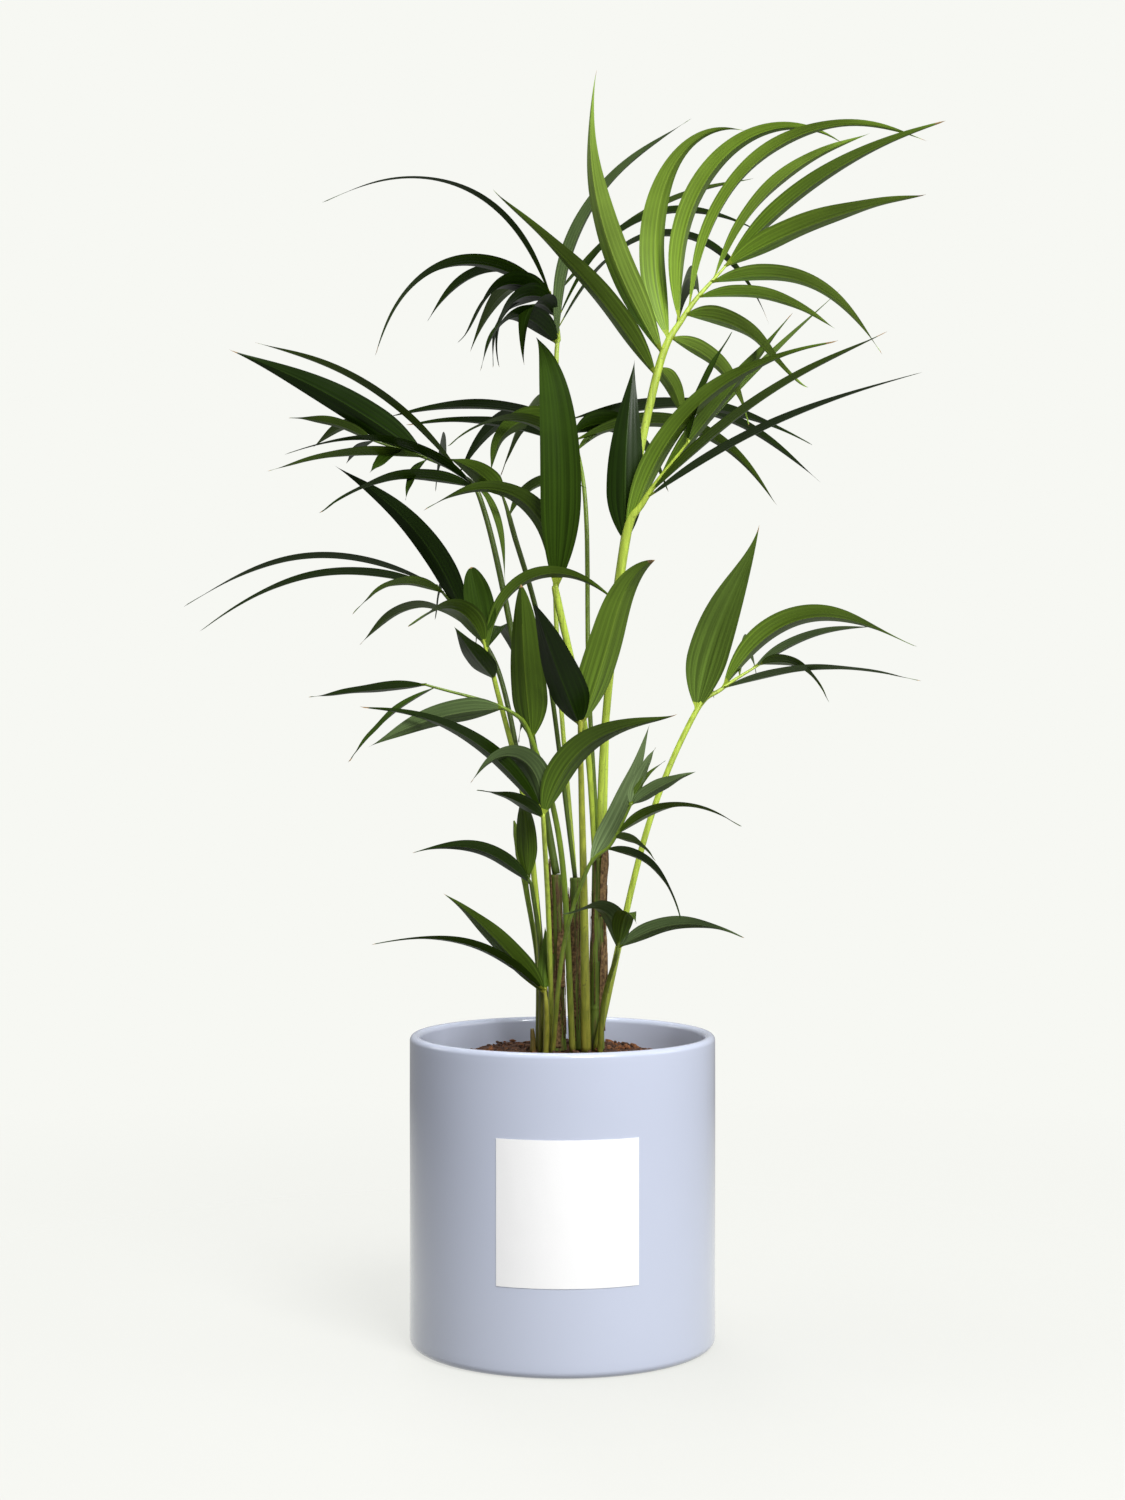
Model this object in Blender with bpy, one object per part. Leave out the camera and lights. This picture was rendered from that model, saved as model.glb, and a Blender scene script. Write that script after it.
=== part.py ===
"""A young kentia palm, about a metre tall, together with the glazed pot it grows in.

The plant is a clump: three short canes and some loose leaf stalks rise from the middle of the
soil, and every stalk ends in a frond, a thin rib with leaflets along it. X runs to the right,
Y away from the front, Z up. The origin is the middle of the pot's flat underside.
"""

import math
from collections import namedtuple

import bmesh
import bpy
from mathutils import Vector
from mathutils.bvhtree import BVHTree

CM = 0.01
GAP = 0.0003

# The pot: a straight round cover pot, and the label wrapped round its front
POT_RADIUS = 0.121
POT_HEIGHT = 0.244
POT_WALL = 0.0085
POT_FLOOR = 0.010
POT_RIM_ROUND = 0.0035
POT_FOOT_ROUND = 0.006
POT_SIDES = 48
LABEL_WIDTH = 0.111
LABEL_HEIGHT = 0.111
LABEL_MIDDLE = 0.1238
LABEL_TURN = math.radians(2)
LABEL_OFF = 0.0004
LABEL_THICKNESS = 0.0005
LABEL_STEPS = 12

# The soil: it fills the pot and rises to a low mound with a flat middle
SOIL_TOP = 0.230
SOIL_FLAT = 0.066
SOIL_EDGE = 0.204

# The place that the plant is described from, in centimetres in front of the axis and up
EYE_AWAY = 205
EYE_UP = 50

# Limbs: how many sides and pieces they have, a cane's wider foot, a rib's slimmer start and its
# end, in centimetres
CANE_SIDES = 10
CANE_STEPS = 6
CANE_FLARE = 1.12
STALK_SIDES = 6
SPAN_STEPS = 4
SPEAR_SIDES = 8
RIB_SLIMMER = 0.92
RIB_END_RADIUS = 0.09

# Leaflets: the thinnest one as a share of its length, its least thickness, the width at its root
# and the room kept round it in centimetres, and the depth of its fold as a share of its width
LEAF_THIN = 1 / 98
LEAF_LEAST_THICK = 0.13
LEAF_ROOT_WIDE = 0.34
LEAF_CLEAR = 0.06
LEAF_FOLD = 0.16
LEAF_FINE_STEPS = 48
# The share of the length where the blade is full width, where it narrows again, and how late
LEAF_FULL = 0.28
LEAF_NARROWS = 0.3
LEAF_LATE = 2.0
# The share of the length where the curl of a leaflet's tip begins
CURL_FROM = 0.5
# Leaflet roots keep this far from the rib's two ends, in centimetres
ROOT_FROM_STALK = 0.4
ROOT_FROM_END = 0.12
# Where a leaflet would touch something it is turned by the first of these that is clear, in degrees
NUDGES = (0, 5, -5, 10, -10, 15, -15, 20, -20, 26, -26, 32, -32)
SHORT_LEAFLET = 10
LONG_LEAFLET = 18
STRONG_BEND = 70

# A cane: its foot and its top as (right, back, up), and its radius at each
Cane = namedtuple("Cane", "foot top foot_radius top_radius")
CANES = {
    "stem_1": Cane((-0.3, 0.4, 23.0), (-0.5, 0.4, 37.0), 0.58, 0.44),
    "stem_2": Cane((1.15, 1.2, 23.0), (1.0, 1.2, 36.7), 0.44, 0.40),
    "stem_3": Cane((2.7, 0.7, 23.0), (2.9, 0.5, 38.3), 0.60, 0.54),
}

# A frond: what it grows from and where on it, as (right, back) from the pot's axis; its stalk's
# middle and end, and its rib's middle and end, as (right, up, back), seen from the front; the
# stalk's radius at its foot and its end; and its leaflets.
Frond = namedtuple("Frond", "carrier foot bow crown rib_bow rib_end radii leaflets")

# A leaflet: where its root sits along the rib (0 at the stalk, 1 at the end), the way it faces
# (degrees round the plant, 0 to the right, 90 to the back), how far it leans from upright at its
# root, how much further it has bent over by its tip, its length and its full width, how far its
# blade is turned up towards the front, how far the outer half curls over, or back, besides, and
# how finely it is drawn out to its tip.
Leaflet = namedtuple("Leaflet", "share facing lean bend length width roll curl point", defaults=(0, 1.5))

FRONDS = {
    "upper_right": Frond(
        "stem_3", (3.22, 0.5), (4.0, 57.2, 1.2), (7.3, 75.9, 2.0), (9.7, 81.4, 2.4), (13.1, 85.5, 3.0),
        (0.21, 0.34),
        (
            (0.05, 186, 34, 17, 19.9, 2.8, 28, -5),
            (0.21, 205, 34, -35, 23.8, 2.9, 20, -11, 1.9),
            (0.32, -20, -14, 50, 21.4, 2.6, 36, 78),
            (0.46, 12, -2, 76, 25.5, 2.6, 48, 49),
            (0.58, 5, 11, 81, 28.3, 2.3, 26, 21),
            (0.85, 20, 27, 41, 19.6, 2.2, 30),
            (1.00, -3, 43, 28, 21.2, 2.3, 28, 0, 1.2),
            (0.97, -20, 65, 18, 17.2, 2.6, 30, 0, 1.2),
            (0.82, -32, 84, 61, 17.8, 2.0, 30),
            (0.68, -18, 85, 40, 12, 1.8, 20),
            (0.53, -40, 99, 55, 14.1, 2.4, 40, -42),
            (0.34, -18, 113, 51, 10.3, 2.0, 44),
            (0.12, 60, 112, 45, 6.5, 1.5, 30),
            (0.70, 95, 60, 70, 17, 2.0, 80),
        ),
    ),
    "mid_right": Frond(
        "stem_3", (2.9, 0.16), (3.3, 47.7, -1.2), (4.9, 62.9, -3.0), (6.5, 66.7, -3.6), (10.1, 71.5, -4.2),
        (0.20, 0.40),
        (
            (0.02, 250, 3, -24, 15, 2.9, 20),
            (0.04, -13, 17, 61, 24.3, 2.4, 32),
            (0.61, 22, 40, 1, 18, 2.0, 48),
            (0.81, 58, 58, 3, 34.1, 1.6, 14),
            (0.97, 30, 16, 18, 10, 1.6, 10),
            (0.46, -17, 48, 19, 22.5, 1.8, 12),
            (0.42, -28, 61, 17, 24.5, 1.6, 6),
        ),
    ),
    "middle": Frond(
        "stem_3", (2.58, 0.5), (1.8, 48.4, -1.5), (-0.4, 58.8, -2.5), (-0.5, 59.6, -2.6), (-0.5, 60.4, -2.7),
        (0.20, 0.30),
        (
            (0.34, 100, -20, 88, 27, 3.2, 4),
            (0.50, 195, 1, 120, 16, 2.2, 36),
        ),
    ),
    "upper_left": Frond(
        "stem_1", (-0.5, 0.4), (-3.0, 50.9, 1.2), (-6.1, 65.5, 2.0), (-8.5, 69.0, 2.6), (-15.1, 71.5, 4.0),
        (0.32, 0.22),
        (
            (0.60, 170, 54, 14, 19, 2.5, 76),
            (0.32, 150, 45, 29, 24.5, 1.7, 36),
            (1.00, 160, 63, 23, 8, 1.3, 42),
            (0.22, 200, 57, 52, 16.5, 1.8, 14),
            (0.62, 215, 88, 19, 14.5, 1.7, 20),
            (1.00, 110, 94, 7, 8.5, 1.5, -10),
            (0.79, 255, 106, 5, 8, 1.6, 8),
            (0.20, 205, 78, 45, 14, 1.9, 24),
            (0.59, 250, 112, 34, 6, 1.4, 22),
            (0.33, 300, 110, 62, 12.5, 1.4, 28),
            (0.45, 96, 60, 65, 17, 2.0, 80),
            (0.80, 125, 60, 50, 15, 1.8, 14),
        ),
    ),
    "left_arch": Frond(
        "stem_2", (1.0, 0.99), (-1.4, 54.8, 0.6), (-3.9, 64.2, 0.4), (-4.4, 66.0, 0.2), (-4.8, 67.2, 0.0),
        (0.18, 0.22),
        (
            (0.95, 225, 53, 26, 6.5, 1.9, 36),
            (0.40, 20, 30, 80, 8, 1.6, 36),
        ),
    ),
    "top_left": Frond(
        "stem_2", (1.0, 1.41), (-0.5, 57.2, 4.6), (-0.5, 76.9, 6.4), (-0.3, 79.8, 7.0), (-1.0, 83.3, 8.0),
        (0.18, 0.20),
        (
            (0.90, 195, 24, 92, 24, 1.3, 8),
            (0.93, 205, 61, 99, 20, 2.0, 22, 0, 1.0),
            (1.00, 160, 55, 89, 13, 2.0, 14, 0, 1.2),
            (0.83, 220, 60, 124, 12.6, 2.3, 36, -63),
            (0.32, 235, 59, 97, 13.3, 2.4, 20),
            (0.94, 215, 96, 84, 9.8, 2.0, 42),
            (0.61, 30, 28, 76, 25.7, 1.4, 30, 5),
            (0.52, 40, 35, 90, 30.5, 1.4, 20, 27),
            (0.89, 40, 46, 29, 27, 1.6, 32),
            (0.31, 5, 3, 56, 23.1, 2.2, 32, -3),
            (0.70, 115, 55, 75, 20, 2.0, 10),
            (0.90, 232, 86, 87, 11.4, 2.2, 42, 26),
            (0.68, 250, 73, 94, 11.3, 2.2, 18, 33),
        ),
    ),
    "rear": Frond(
        "stem_3", (2.9, 0.85), (2.1, 52.0, 3.5), (1.9, 65.2, 6.5), (1.2, 70.7, 9.0), (0.0, 74.3, 12.0),
        (0.20, 0.20),
        (
            (0.75, 20, 70, 43, 23, 1.9, 20),
            (0.84, 30, 74, 50, 27.5, 1.9, 16),
            (0.64, 8, 69, 76, 20, 2.0, 30),
            (0.71, 8, 62, 112, 8.5, 2.4, 40),
            (0.79, 160, 72, 27, 17, 1.7, 22),
            (0.56, 170, 67, 28, 15, 1.6, 22),
            (0.47, 185, 46, 81, 13, 1.8, 26),
            (0.73, 200, 65, 110, 10.5, 2.1, 54),
            (0.95, 92, 82, 50, 18, 2.0, 78),
            (1.00, 110, 78, 55, 18, 2.0, 76),
            (0.70, 130, 62, 75, 18, 2.0, 16),
            (0.55, 55, 60, 80, 16, 2.0, 14),
        ),
    ),
    "front": Frond(
        "soil", (1.85, -0.6), (1.7, 35.0, -3.0), (1.4, 48.1, -7.0), (1.5, 48.7, -7.1), (1.6, 49.4, -7.2),
        (0.42, 0.19),
        (
            (0.80, -35, 23, -9, 14.5, 3.1, 22, 61, 0.8),
            (0.30, 235, 36, -6, 11, 3.2, 18, 0, 0.9),
        ),
    ),
    "front_left": Frond(
        "soil", (0.8, -1.2), (-0.1, 38.7, -4.2), (-2.3, 47.3, -6.5), (-4.4, 50.1, -7.5), (-10.9, 52.1, -9.0),
        (0.26, 0.20),
        (
            (0.04, 240, 12, -9, 12, 3.0, 8, 0, 0.7),
            (1.00, 185, 95, 2, 9, 1.3, 36),
            (0.38, 215, 93, 21, 12.5, 2.1, 58),
            (0.92, 230, 110, 21, 11, 1.4, 8),
            (0.10, 95, 60, 70, 12, 2.0, 80),
        ),
    ),
    "low_front": Frond(
        "soil", (-0.8, -1.2), (-1.1, 33.4, -4.5), (-1.5, 40.9, -8.5), (-1.55, 41.6, -8.6), (-1.6, 42.2, -8.7),
        (0.22, 0.18),
        (
            (0.57, -15, 20, 74, 14, 2.5, 44, -23),
            (0.95, 215, 4, 135, 10, 2.2, 36),
            (0.85, 195, 39, 45, 17.5, 1.6, 34),
            (0.40, 230, 63, 21, 8, 1.5, 24),
        ),
    ),
    "low_left": Frond(
        "soil", (-1.75, -1.0), (-1.7, 30.2, -2.0), (-2.4, 35.8, -3.5), (-2.6, 36.4, -3.6), (-2.8, 37.0, -3.7),
        (0.22, 0.17),
        (
            (0.50, 200, 48, 55, 10.5, 1.5, 40),
            (0.80, 265, 15, 50, 9, 1.6, 8),
        ),
    ),
    "mid_left": Frond(
        "soil", (-1.35, -0.2), (-2.6, 40.2, -2.5), (-5.3, 52.1, -5.0), (-5.9, 54.0, -5.6), (-6.4, 56.2, -6.2),
        (0.26, 0.20),
        (
            (0.78, 225, 33, 106, 9.3, 2.2, 22, -29, 1.1),
            (0.10, 250, 68, -6, 9, 1.9, 14),
            (0.57, 15, 9, 119, 15, 1.7, 36),
            (1.00, 125, 11, 11, 5.5, 2.4, -16, 0, 0.6),
            (0.90, 95, 55, 80, 13, 2.0, 80),
        ),
    ),
    "far_left": Frond(
        "soil", (-1.0, 1.5), (-2.7, 40.6, 3.0), (-5.0, 52.9, 5.0), (-8.1, 57.6, 6.5), (-10.0, 60.0, 8.0),
        (0.26, 0.20),
        (
            (0.51, 160, 25, 34, 18.5, 2.3, 74),
            (1.00, 175, 68, 53, 22.5, 1.6, 16),
            (0.95, 195, 76, 49, 21, 1.6, 20),
            (0.90, 220, 72, 61, 10, 1.4, 26),
            (0.75, 98, 55, 75, 18, 2.0, 80),
            (0.40, 135, 60, 65, 16, 2.0, 16),
            (0.25, 80, 62, 70, 15, 2.0, 8),
        ),
    ),
    "low_right": Frond(
        "soil", (-0.8, -2.2), (0.1, 31.4, -4.5), (2.0, 37.5, -7.5), (3.9, 39.5, -8.5), (5.5, 42.7, -9.5),
        (0.20, 0.16),
        (
            (0.05, 60, 53, -22, 14.5, 1.8, -4),
            (0.97, 60, 35, 16, 6, 1.3, 4),
            (0.92, 30, 27, 30, 5, 1.0, -4),
            (1.00, 0, 56, 14, 5.5, 1.3, 56),
            (0.57, -25, 54, 63, 11, 1.4, 30),
            (0.53, -50, 91, 36, 5, 1.1, 48),
            (0.35, -35, 95, 64, 9, 1.2, 46),
        ),
    ),
    "far_right": Frond(
        "soil", (2.62, -0.35), (6.6, 40.2, 0.6), (10.4, 49.6, 2.0), (12.7, 51.8, 2.8), (15.8, 53.8, 4.0),
        (0.27, 0.22),
        (
            (0.06, 40, 17, 23, 16.9, 3.5, -30, -23, 1.6),
            (0.46, 15, 35, 93, 19.5, 2.9, 50, -20, 2.4),
            (0.89, 0, 55, 32, 10.5, 1.4, 34),
            (0.97, -45, 81, 64, 8.5, 1.4, 38),
            (0.45, -20, 74, 28, 16.5, 1.3, 26),
            (0.70, 80, 55, 70, 15, 1.9, 80),
            (0.25, 84, 55, 70, 13, 1.9, 80),
        ),
    ),
    "bottom_right": Frond(
        "soil", (2.95, -1.2), (3.3, 27.1, -2.5), (4.3, 30.6, -5.0), (4.4, 31.2, -5.1), (4.5, 31.7, -5.2),
        (0.22, 0.17),
        (
            (0.50, 215, 2, 137, 7.6, 2.4, 14, -60),
            (0.60, -15, 59, 51, 10.5, 1.5, 56),
            (0.80, 280, 35, 75, 8, 1.6, 10),
        ),
    ),
    "bottom_left": Frond(
        "soil", (-1.3, -1.9), (-1.25, 24.7, -2.3), (-1.3, 26.7, -3), (-1.35, 27.3, -3.1), (-1.4, 28, -3.2),
        (0.26, 0.20),
        (
            (0.60, 205, 42, 6, 11.9, 2.1, 34, 9),
            (0.80, 225, 56, 38, 19, 1.2, 18),
            (0.90, 250, -14, 27, 5, 1.3, 40),
        ),
    ),
}

# The unopened leaf and the stub of a cut one: points as (right, up, back) with a radius at each
SPEAR = (
    ((-1.95, 23.0, 0.35), 0.22),
    ((-2.0, 30.0, -0.2), 0.17),
    ((-2.9, 36.0, -0.9), 0.22),
    ((-3.3, 38.6, -1.1), 0.42),
    ((-3.6, 40.2, -1.2), 0.30),
    ((-3.85, 41.3, -1.3), 0.06),
)
STUB = (
    ((-2.35, 23.0, -0.55), 0.26),
    ((-2.35, 23.9, -0.6), 0.22),
    ((-2.4, 24.8, -0.65), 0.15),
)


def clear_scene():
    for obj in list(bpy.data.objects):
        bpy.data.objects.remove(obj, do_unlink=True)


def material(name, colour, roughness, metallic=0.0):
    made = bpy.data.materials.new(name)
    made.use_nodes = True
    shader = made.node_tree.nodes["Principled BSDF"]
    shader.inputs["Base Color"].default_value = (*colour, 1.0)
    shader.inputs["Roughness"].default_value = roughness
    shader.inputs["Metallic"].default_value = metallic
    return made


def object_from(name, bm, mat, smooth_angle=40):
    bmesh.ops.recalc_face_normals(bm, faces=bm.faces)
    mesh = bpy.data.meshes.new(name)
    bm.to_mesh(mesh)
    bm.free()
    mesh.materials.append(mat)
    mesh.shade_smooth()
    mesh.set_sharp_from_angle(angle=math.radians(smooth_angle))
    obj = bpy.data.objects.new(name, mesh)
    bpy.context.scene.collection.objects.link(obj)
    return obj


def seen(right, up, back):
    """The point that shows at (right, up) centimetres from the front, this far back."""
    spread = (EYE_AWAY + back) / EYE_AWAY
    return Vector((right * spread, back, EYE_UP + (up - EYE_UP) * spread)) * CM


def arc(centre, radius, start, end, steps):
    """Points of a round corner in the (radius, height) plane, with the angles in degrees."""
    angles = [math.radians(start + (end - start) * i / steps) for i in range(steps + 1)]
    return [(centre[0] + radius * math.cos(a), centre[1] + radius * math.sin(a)) for a in angles]


def turned(name, profile, sides, mat):
    """A closed solid of revolution from a profile that starts and ends on the axis."""
    bm = bmesh.new()
    points = [bm.verts.new((radius, 0, height)) for radius, height in profile]
    edges = [bm.edges.new(pair) for pair in zip(points, points[1:])]
    bmesh.ops.spin(
        bm, geom=points + edges, axis=(0, 0, 1), cent=(0, 0, 0), steps=sides, angle=2 * math.pi
    )
    bmesh.ops.remove_doubles(bm, verts=bm.verts, dist=1e-6)
    return object_from(name, bm, mat)


def make_pot():
    wall_in = POT_RADIUS - POT_WALL
    foot = (POT_RADIUS - POT_FOOT_ROUND, POT_FOOT_ROUND)
    rim = POT_HEIGHT - POT_RIM_ROUND
    outline = [(0, 0)]
    outline += arc(foot, POT_FOOT_ROUND, -90, 0, 2)
    outline += arc((POT_RADIUS - POT_RIM_ROUND, rim), POT_RIM_ROUND, 0, 90, 2)
    outline += arc((wall_in + POT_RIM_ROUND, rim), POT_RIM_ROUND, 90, 180, 2)
    outline += [(wall_in, POT_FLOOR), (0, POT_FLOOR)]
    glaze = material("pot glaze", (0.42, 0.47, 0.68), 0.15)
    return turned("pot", outline, POT_SIDES, glaze)


def make_soil():
    edge = POT_RADIUS - POT_WALL - GAP
    bottom = POT_FLOOR + GAP
    outline = [
        (0, bottom),
        (edge, bottom),
        (edge, SOIL_EDGE),
        ((SOIL_FLAT + edge) / 2, (SOIL_TOP * 2 + SOIL_EDGE) / 3),
        (SOIL_FLAT, SOIL_TOP),
        (0, SOIL_TOP),
    ]
    return turned("soil", outline, POT_SIDES, material("soil", (0.12, 0.05, 0.02), 0.95))


def make_label():
    """The blank square label, a thin sheet bent round the pot's front."""
    inner = POT_RADIUS + LABEL_OFF
    outer = inner + LABEL_THICKNESS
    spread = LABEL_WIDTH / POT_RADIUS
    bottom = LABEL_MIDDLE - LABEL_HEIGHT / 2
    rings = []
    bm = bmesh.new()
    for i in range(LABEL_STEPS + 1):
        turn = LABEL_TURN + spread * (i / LABEL_STEPS - 0.5)
        way = Vector((math.sin(turn), -math.cos(turn), 0))
        corners = ((inner, 0), (outer, 0), (outer, LABEL_HEIGHT), (inner, LABEL_HEIGHT))
        rings.append([bm.verts.new(way * r + Vector((0, 0, bottom + up))) for r, up in corners])
    skin(bm, rings)
    return object_from("label", bm, material("label paper", (0.9, 0.9, 0.9), 0.6))


def skin(bm, rings):
    """Faces along rings of equal size, and a cap on each end."""
    count = len(rings[0])
    for first, second in zip(rings, rings[1:]):
        for i in range(count):
            j = (i + 1) % count
            bm.faces.new((first[i], first[j], second[j], second[i]))
    bm.faces.new(list(reversed(rings[0])))
    bm.faces.new(rings[-1])


def along(points, steps):
    """Points on a smooth curve through these points, so many to a span."""
    ends = [points[0] * 2 - points[1], *points, points[-1] * 2 - points[-2]]
    curve = []
    for span in range(len(points) - 1):
        a, b, c, d = ends[span : span + 4]
        last = span == len(points) - 2
        for i in range(steps + last):
            t = i / steps
            even = b * 2 + (c - a) * t
            bend = (a * 2 - b * 5 + c * 4 - d) * t**2
            twist = (b * 3 - a - c * 3 + d) * t**3
            curve.append((even + bend + twist) / 2)
    return curve


def tube(bm, points, radii, sides, flat_foot=False):
    """A round tapering limb through these points."""
    side = Vector((0, 1, 0))
    rings = []
    for i, point in enumerate(points):
        ahead = points[min(i + 1, len(points) - 1)] - points[max(i - 1, 0)]
        if flat_foot and i == 0:
            ahead = Vector((0, 0, 1))
        ahead.normalize()
        side = (side - ahead * side.dot(ahead)).normalized()
        other = ahead.cross(side)
        ring = []
        for k in range(sides):
            turn = 2 * math.pi * k / sides
            ring.append(bm.verts.new(point + (side * math.cos(turn) + other * math.sin(turn)) * radii[i]))
        rings.append(ring)
    skin(bm, rings)


def taper(first, last, count):
    return [(first + (last - first) * i / (count - 1)) * CM for i in range(count)]


def make_cane(name, cane):
    """A cane, a little wider where it leaves the soil."""
    foot = Vector(cane.foot) * CM
    foot.z = SOIL_TOP + GAP
    top = Vector(cane.top) * CM
    points = [foot.lerp(top, i / CANE_STEPS) for i in range(CANE_STEPS + 1)]
    radii = taper(cane.foot_radius, cane.top_radius, CANE_STEPS + 1)
    radii[0] *= CANE_FLARE
    bm = bmesh.new()
    tube(bm, points, radii, CANE_SIDES, flat_foot=True)
    return object_from(name, bm, material(name, (0.10, 0.13, 0.03), 0.6))


def stalk_and_rib(frond):
    """The smooth line of a frond's stalk, from its foot up, and that of its rib."""
    carrier_top = CANES[frond.carrier].top[2] * CM if frond.carrier in CANES else SOIL_TOP
    foot = Vector((frond.foot[0] * CM, frond.foot[1] * CM, carrier_top + GAP))
    line = [foot, seen(*frond.bow), seen(*frond.crown), seen(*frond.rib_bow), seen(*frond.rib_end)]
    curve = along(line, SPAN_STEPS)
    stalk = curve[: 2 * SPAN_STEPS + 1]
    rib = curve[2 * SPAN_STEPS :]
    start = (rib[1] - rib[0]).normalized() * GAP
    rib = [rib[0] + start, *rib[1:]]
    return stalk, rib


def rib_radii(frond, count):
    return taper(frond.radii[1] * RIB_SLIMMER, RIB_END_RADIUS, count)


def place_on(line, share):
    """The point this far along a line, kept off its ends."""
    lengths = [(b - a).length for a, b in zip(line, line[1:])]
    whole = sum(lengths)
    want = min(max(share * whole, ROOT_FROM_STALK * CM), whole - ROOT_FROM_END * CM)
    for start, end, length in zip(line, line[1:], lengths):
        if want <= length:
            return start.lerp(end, want / length)
        want -= length
    return line[-1]


def leaflet_line(root, leaflet, facing):
    """Points and headings along a leaflet: it leans, and bends over mostly in its middle."""
    way = Vector((math.cos(math.radians(facing)), math.sin(math.radians(facing)), 0))
    point = root.copy()
    line = []
    for i in range(LEAF_FINE_STEPS + 1):
        share = (i + 0.5) / LEAF_FINE_STEPS
        curl = leaflet.curl * (max(share - CURL_FROM, 0) / (1 - CURL_FROM)) ** 2
        lean = math.radians(leaflet.lean + leaflet.bend * share**2 * (3 - 2 * share) + curl)
        ahead = way * math.sin(lean) + Vector((0, 0, math.cos(lean)))
        line.append((point.copy(), ahead))
        point = point + ahead * (leaflet.length * CM / LEAF_FINE_STEPS)
    return line


def leaflet_width(leaflet, share):
    """The full width here: narrow at the root, widest before the middle, a long thin tip."""
    opening = 1 - (1 - min(share / LEAF_FULL, 1)) ** 2
    narrowing = max((share - LEAF_NARROWS) / (1 - LEAF_NARROWS), 0) ** LEAF_LATE
    closing = (1 - narrowing) ** leaflet.point
    full = leaflet.width * opening * closing
    return max(full, LEAF_ROOT_WIDE * (1 - share)) * CM


def leaflet_steps(leaflet):
    """How many straight pieces it takes: more on a long or strongly bent leaflet."""
    if leaflet.length < SHORT_LEAFLET:
        return 4
    return 8 if leaflet.length > LONG_LEAFLET and leaflet.bend > STRONG_BEND else 6


def leaflet_shape(bm, root, leaflet, facing, grow=0.0, skip=0):
    """A folded blade as a closed solid. The tip is one point."""
    steps = leaflet_steps(leaflet)
    line = leaflet_line(root, leaflet, facing)
    turn = math.radians(facing)
    front = 1 if math.cos(turn) >= 0 else -1
    level = Vector((-math.sin(turn), math.cos(turn), 0)) * front
    roll = math.radians(leaflet.roll)
    half_thick = max(leaflet.length * LEAF_THIN, LEAF_LEAST_THICK) / 2 * CM + grow
    rings = []
    for i in range(skip, steps):
        point, ahead = line[i * LEAF_FINE_STEPS // steps]
        above = level.cross(ahead) * front
        across = level * math.cos(roll) + above * math.sin(roll)
        upper = above * math.cos(roll) - level * math.sin(roll)
        half = leaflet_width(leaflet, i / steps) / 2 + grow
        drop = upper * (half * 2 * LEAF_FOLD)
        corners = (-across * half - drop, upper * half_thick, across * half - drop, -upper * half_thick)
        rings.append([bm.verts.new(point + corner) for corner in corners])
    tip = bm.verts.new(line[-1][0])
    for first, second in zip(rings, rings[1:]):
        for k in range(4):
            bm.faces.new((first[k], first[(k + 1) % 4], second[(k + 1) % 4], second[k]))
    bm.faces.new(list(reversed(rings[0])))
    for k in range(4):
        bm.faces.new((rings[-1][k], rings[-1][(k + 1) % 4], tip))


def tree_of(bm):
    bmesh.ops.triangulate(bm, faces=bm.faces)
    return BVHTree.FromBMesh(bm)


def room_tree(root, leaflet, facing, skip):
    """The search tree of the room that a leaflet needs, from one of its rings on."""
    room = bmesh.new()
    leaflet_shape(room, root, leaflet, facing, grow=LEAF_CLEAR * CM, skip=skip)
    tree = tree_of(room)
    room.free()
    return tree


def clear_facing(root, leaflet, others, own_stalk):
    """The facing nearest the wanted one at which the leaflet touches nothing, or None."""
    for nudge in NUDGES:
        facing = leaflet.facing + nudge
        whole = room_tree(root, leaflet, facing, 0)
        if any(whole.overlap(other) for other in others):
            continue
        if not room_tree(root, leaflet, facing, 1).overlap(own_stalk):
            return facing
    return None


def solid_part(name, bm, mat):
    """A piece of a frond before the pieces are joined."""
    piece = object_from(name, bm, mat)
    bpy.context.scene.collection.objects.unlink(piece)
    return piece


def islands(bm):
    """The connected groups of a mesh's points."""
    left = set(bm.verts)
    while left:
        start = left.pop()
        group = {start}
        edge = [start]
        while edge:
            for link in edge.pop().link_edges:
                for vert in link.verts:
                    if vert in left:
                        left.remove(vert)
                        group.add(vert)
                        edge.append(vert)
        yield group


def keep_outer_skin(mesh):
    """Fills the tiny hollows that crossing leaflets seal off, and drops loose scraps."""
    bm = bmesh.new()
    bm.from_mesh(mesh)
    groups = sorted(islands(bm), key=len)
    for group in groups[:-1]:
        bmesh.ops.delete(bm, geom=list(group), context="VERTS")
    bm.to_mesh(mesh)
    bm.free()


def join(name, base, pieces, mat):
    """One solid from a base piece and the pieces that grow out of it."""
    group = bpy.data.collections.new(name + " pieces")
    for piece in pieces:
        group.objects.link(piece)
    union = base.modifiers.new("join", "BOOLEAN")
    union.operation = "UNION"
    union.operand_type = "COLLECTION"
    union.collection = group
    union.solver = "MANIFOLD"
    bpy.context.scene.collection.objects.link(base)
    bpy.context.view_layer.update()
    whole = bpy.data.meshes.new_from_object(base.evaluated_get(bpy.context.evaluated_depsgraph_get()))
    for piece in [base, *pieces]:
        bpy.data.objects.remove(piece, do_unlink=True)
    bpy.data.collections.remove(group)
    keep_outer_skin(whole)
    whole.materials.clear()
    whole.materials.append(mat)
    whole.shade_smooth()
    whole.set_sharp_from_angle(angle=math.radians(30))
    joined = bpy.data.objects.new(name, whole)
    bpy.context.scene.collection.objects.link(joined)
    return joined


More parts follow.
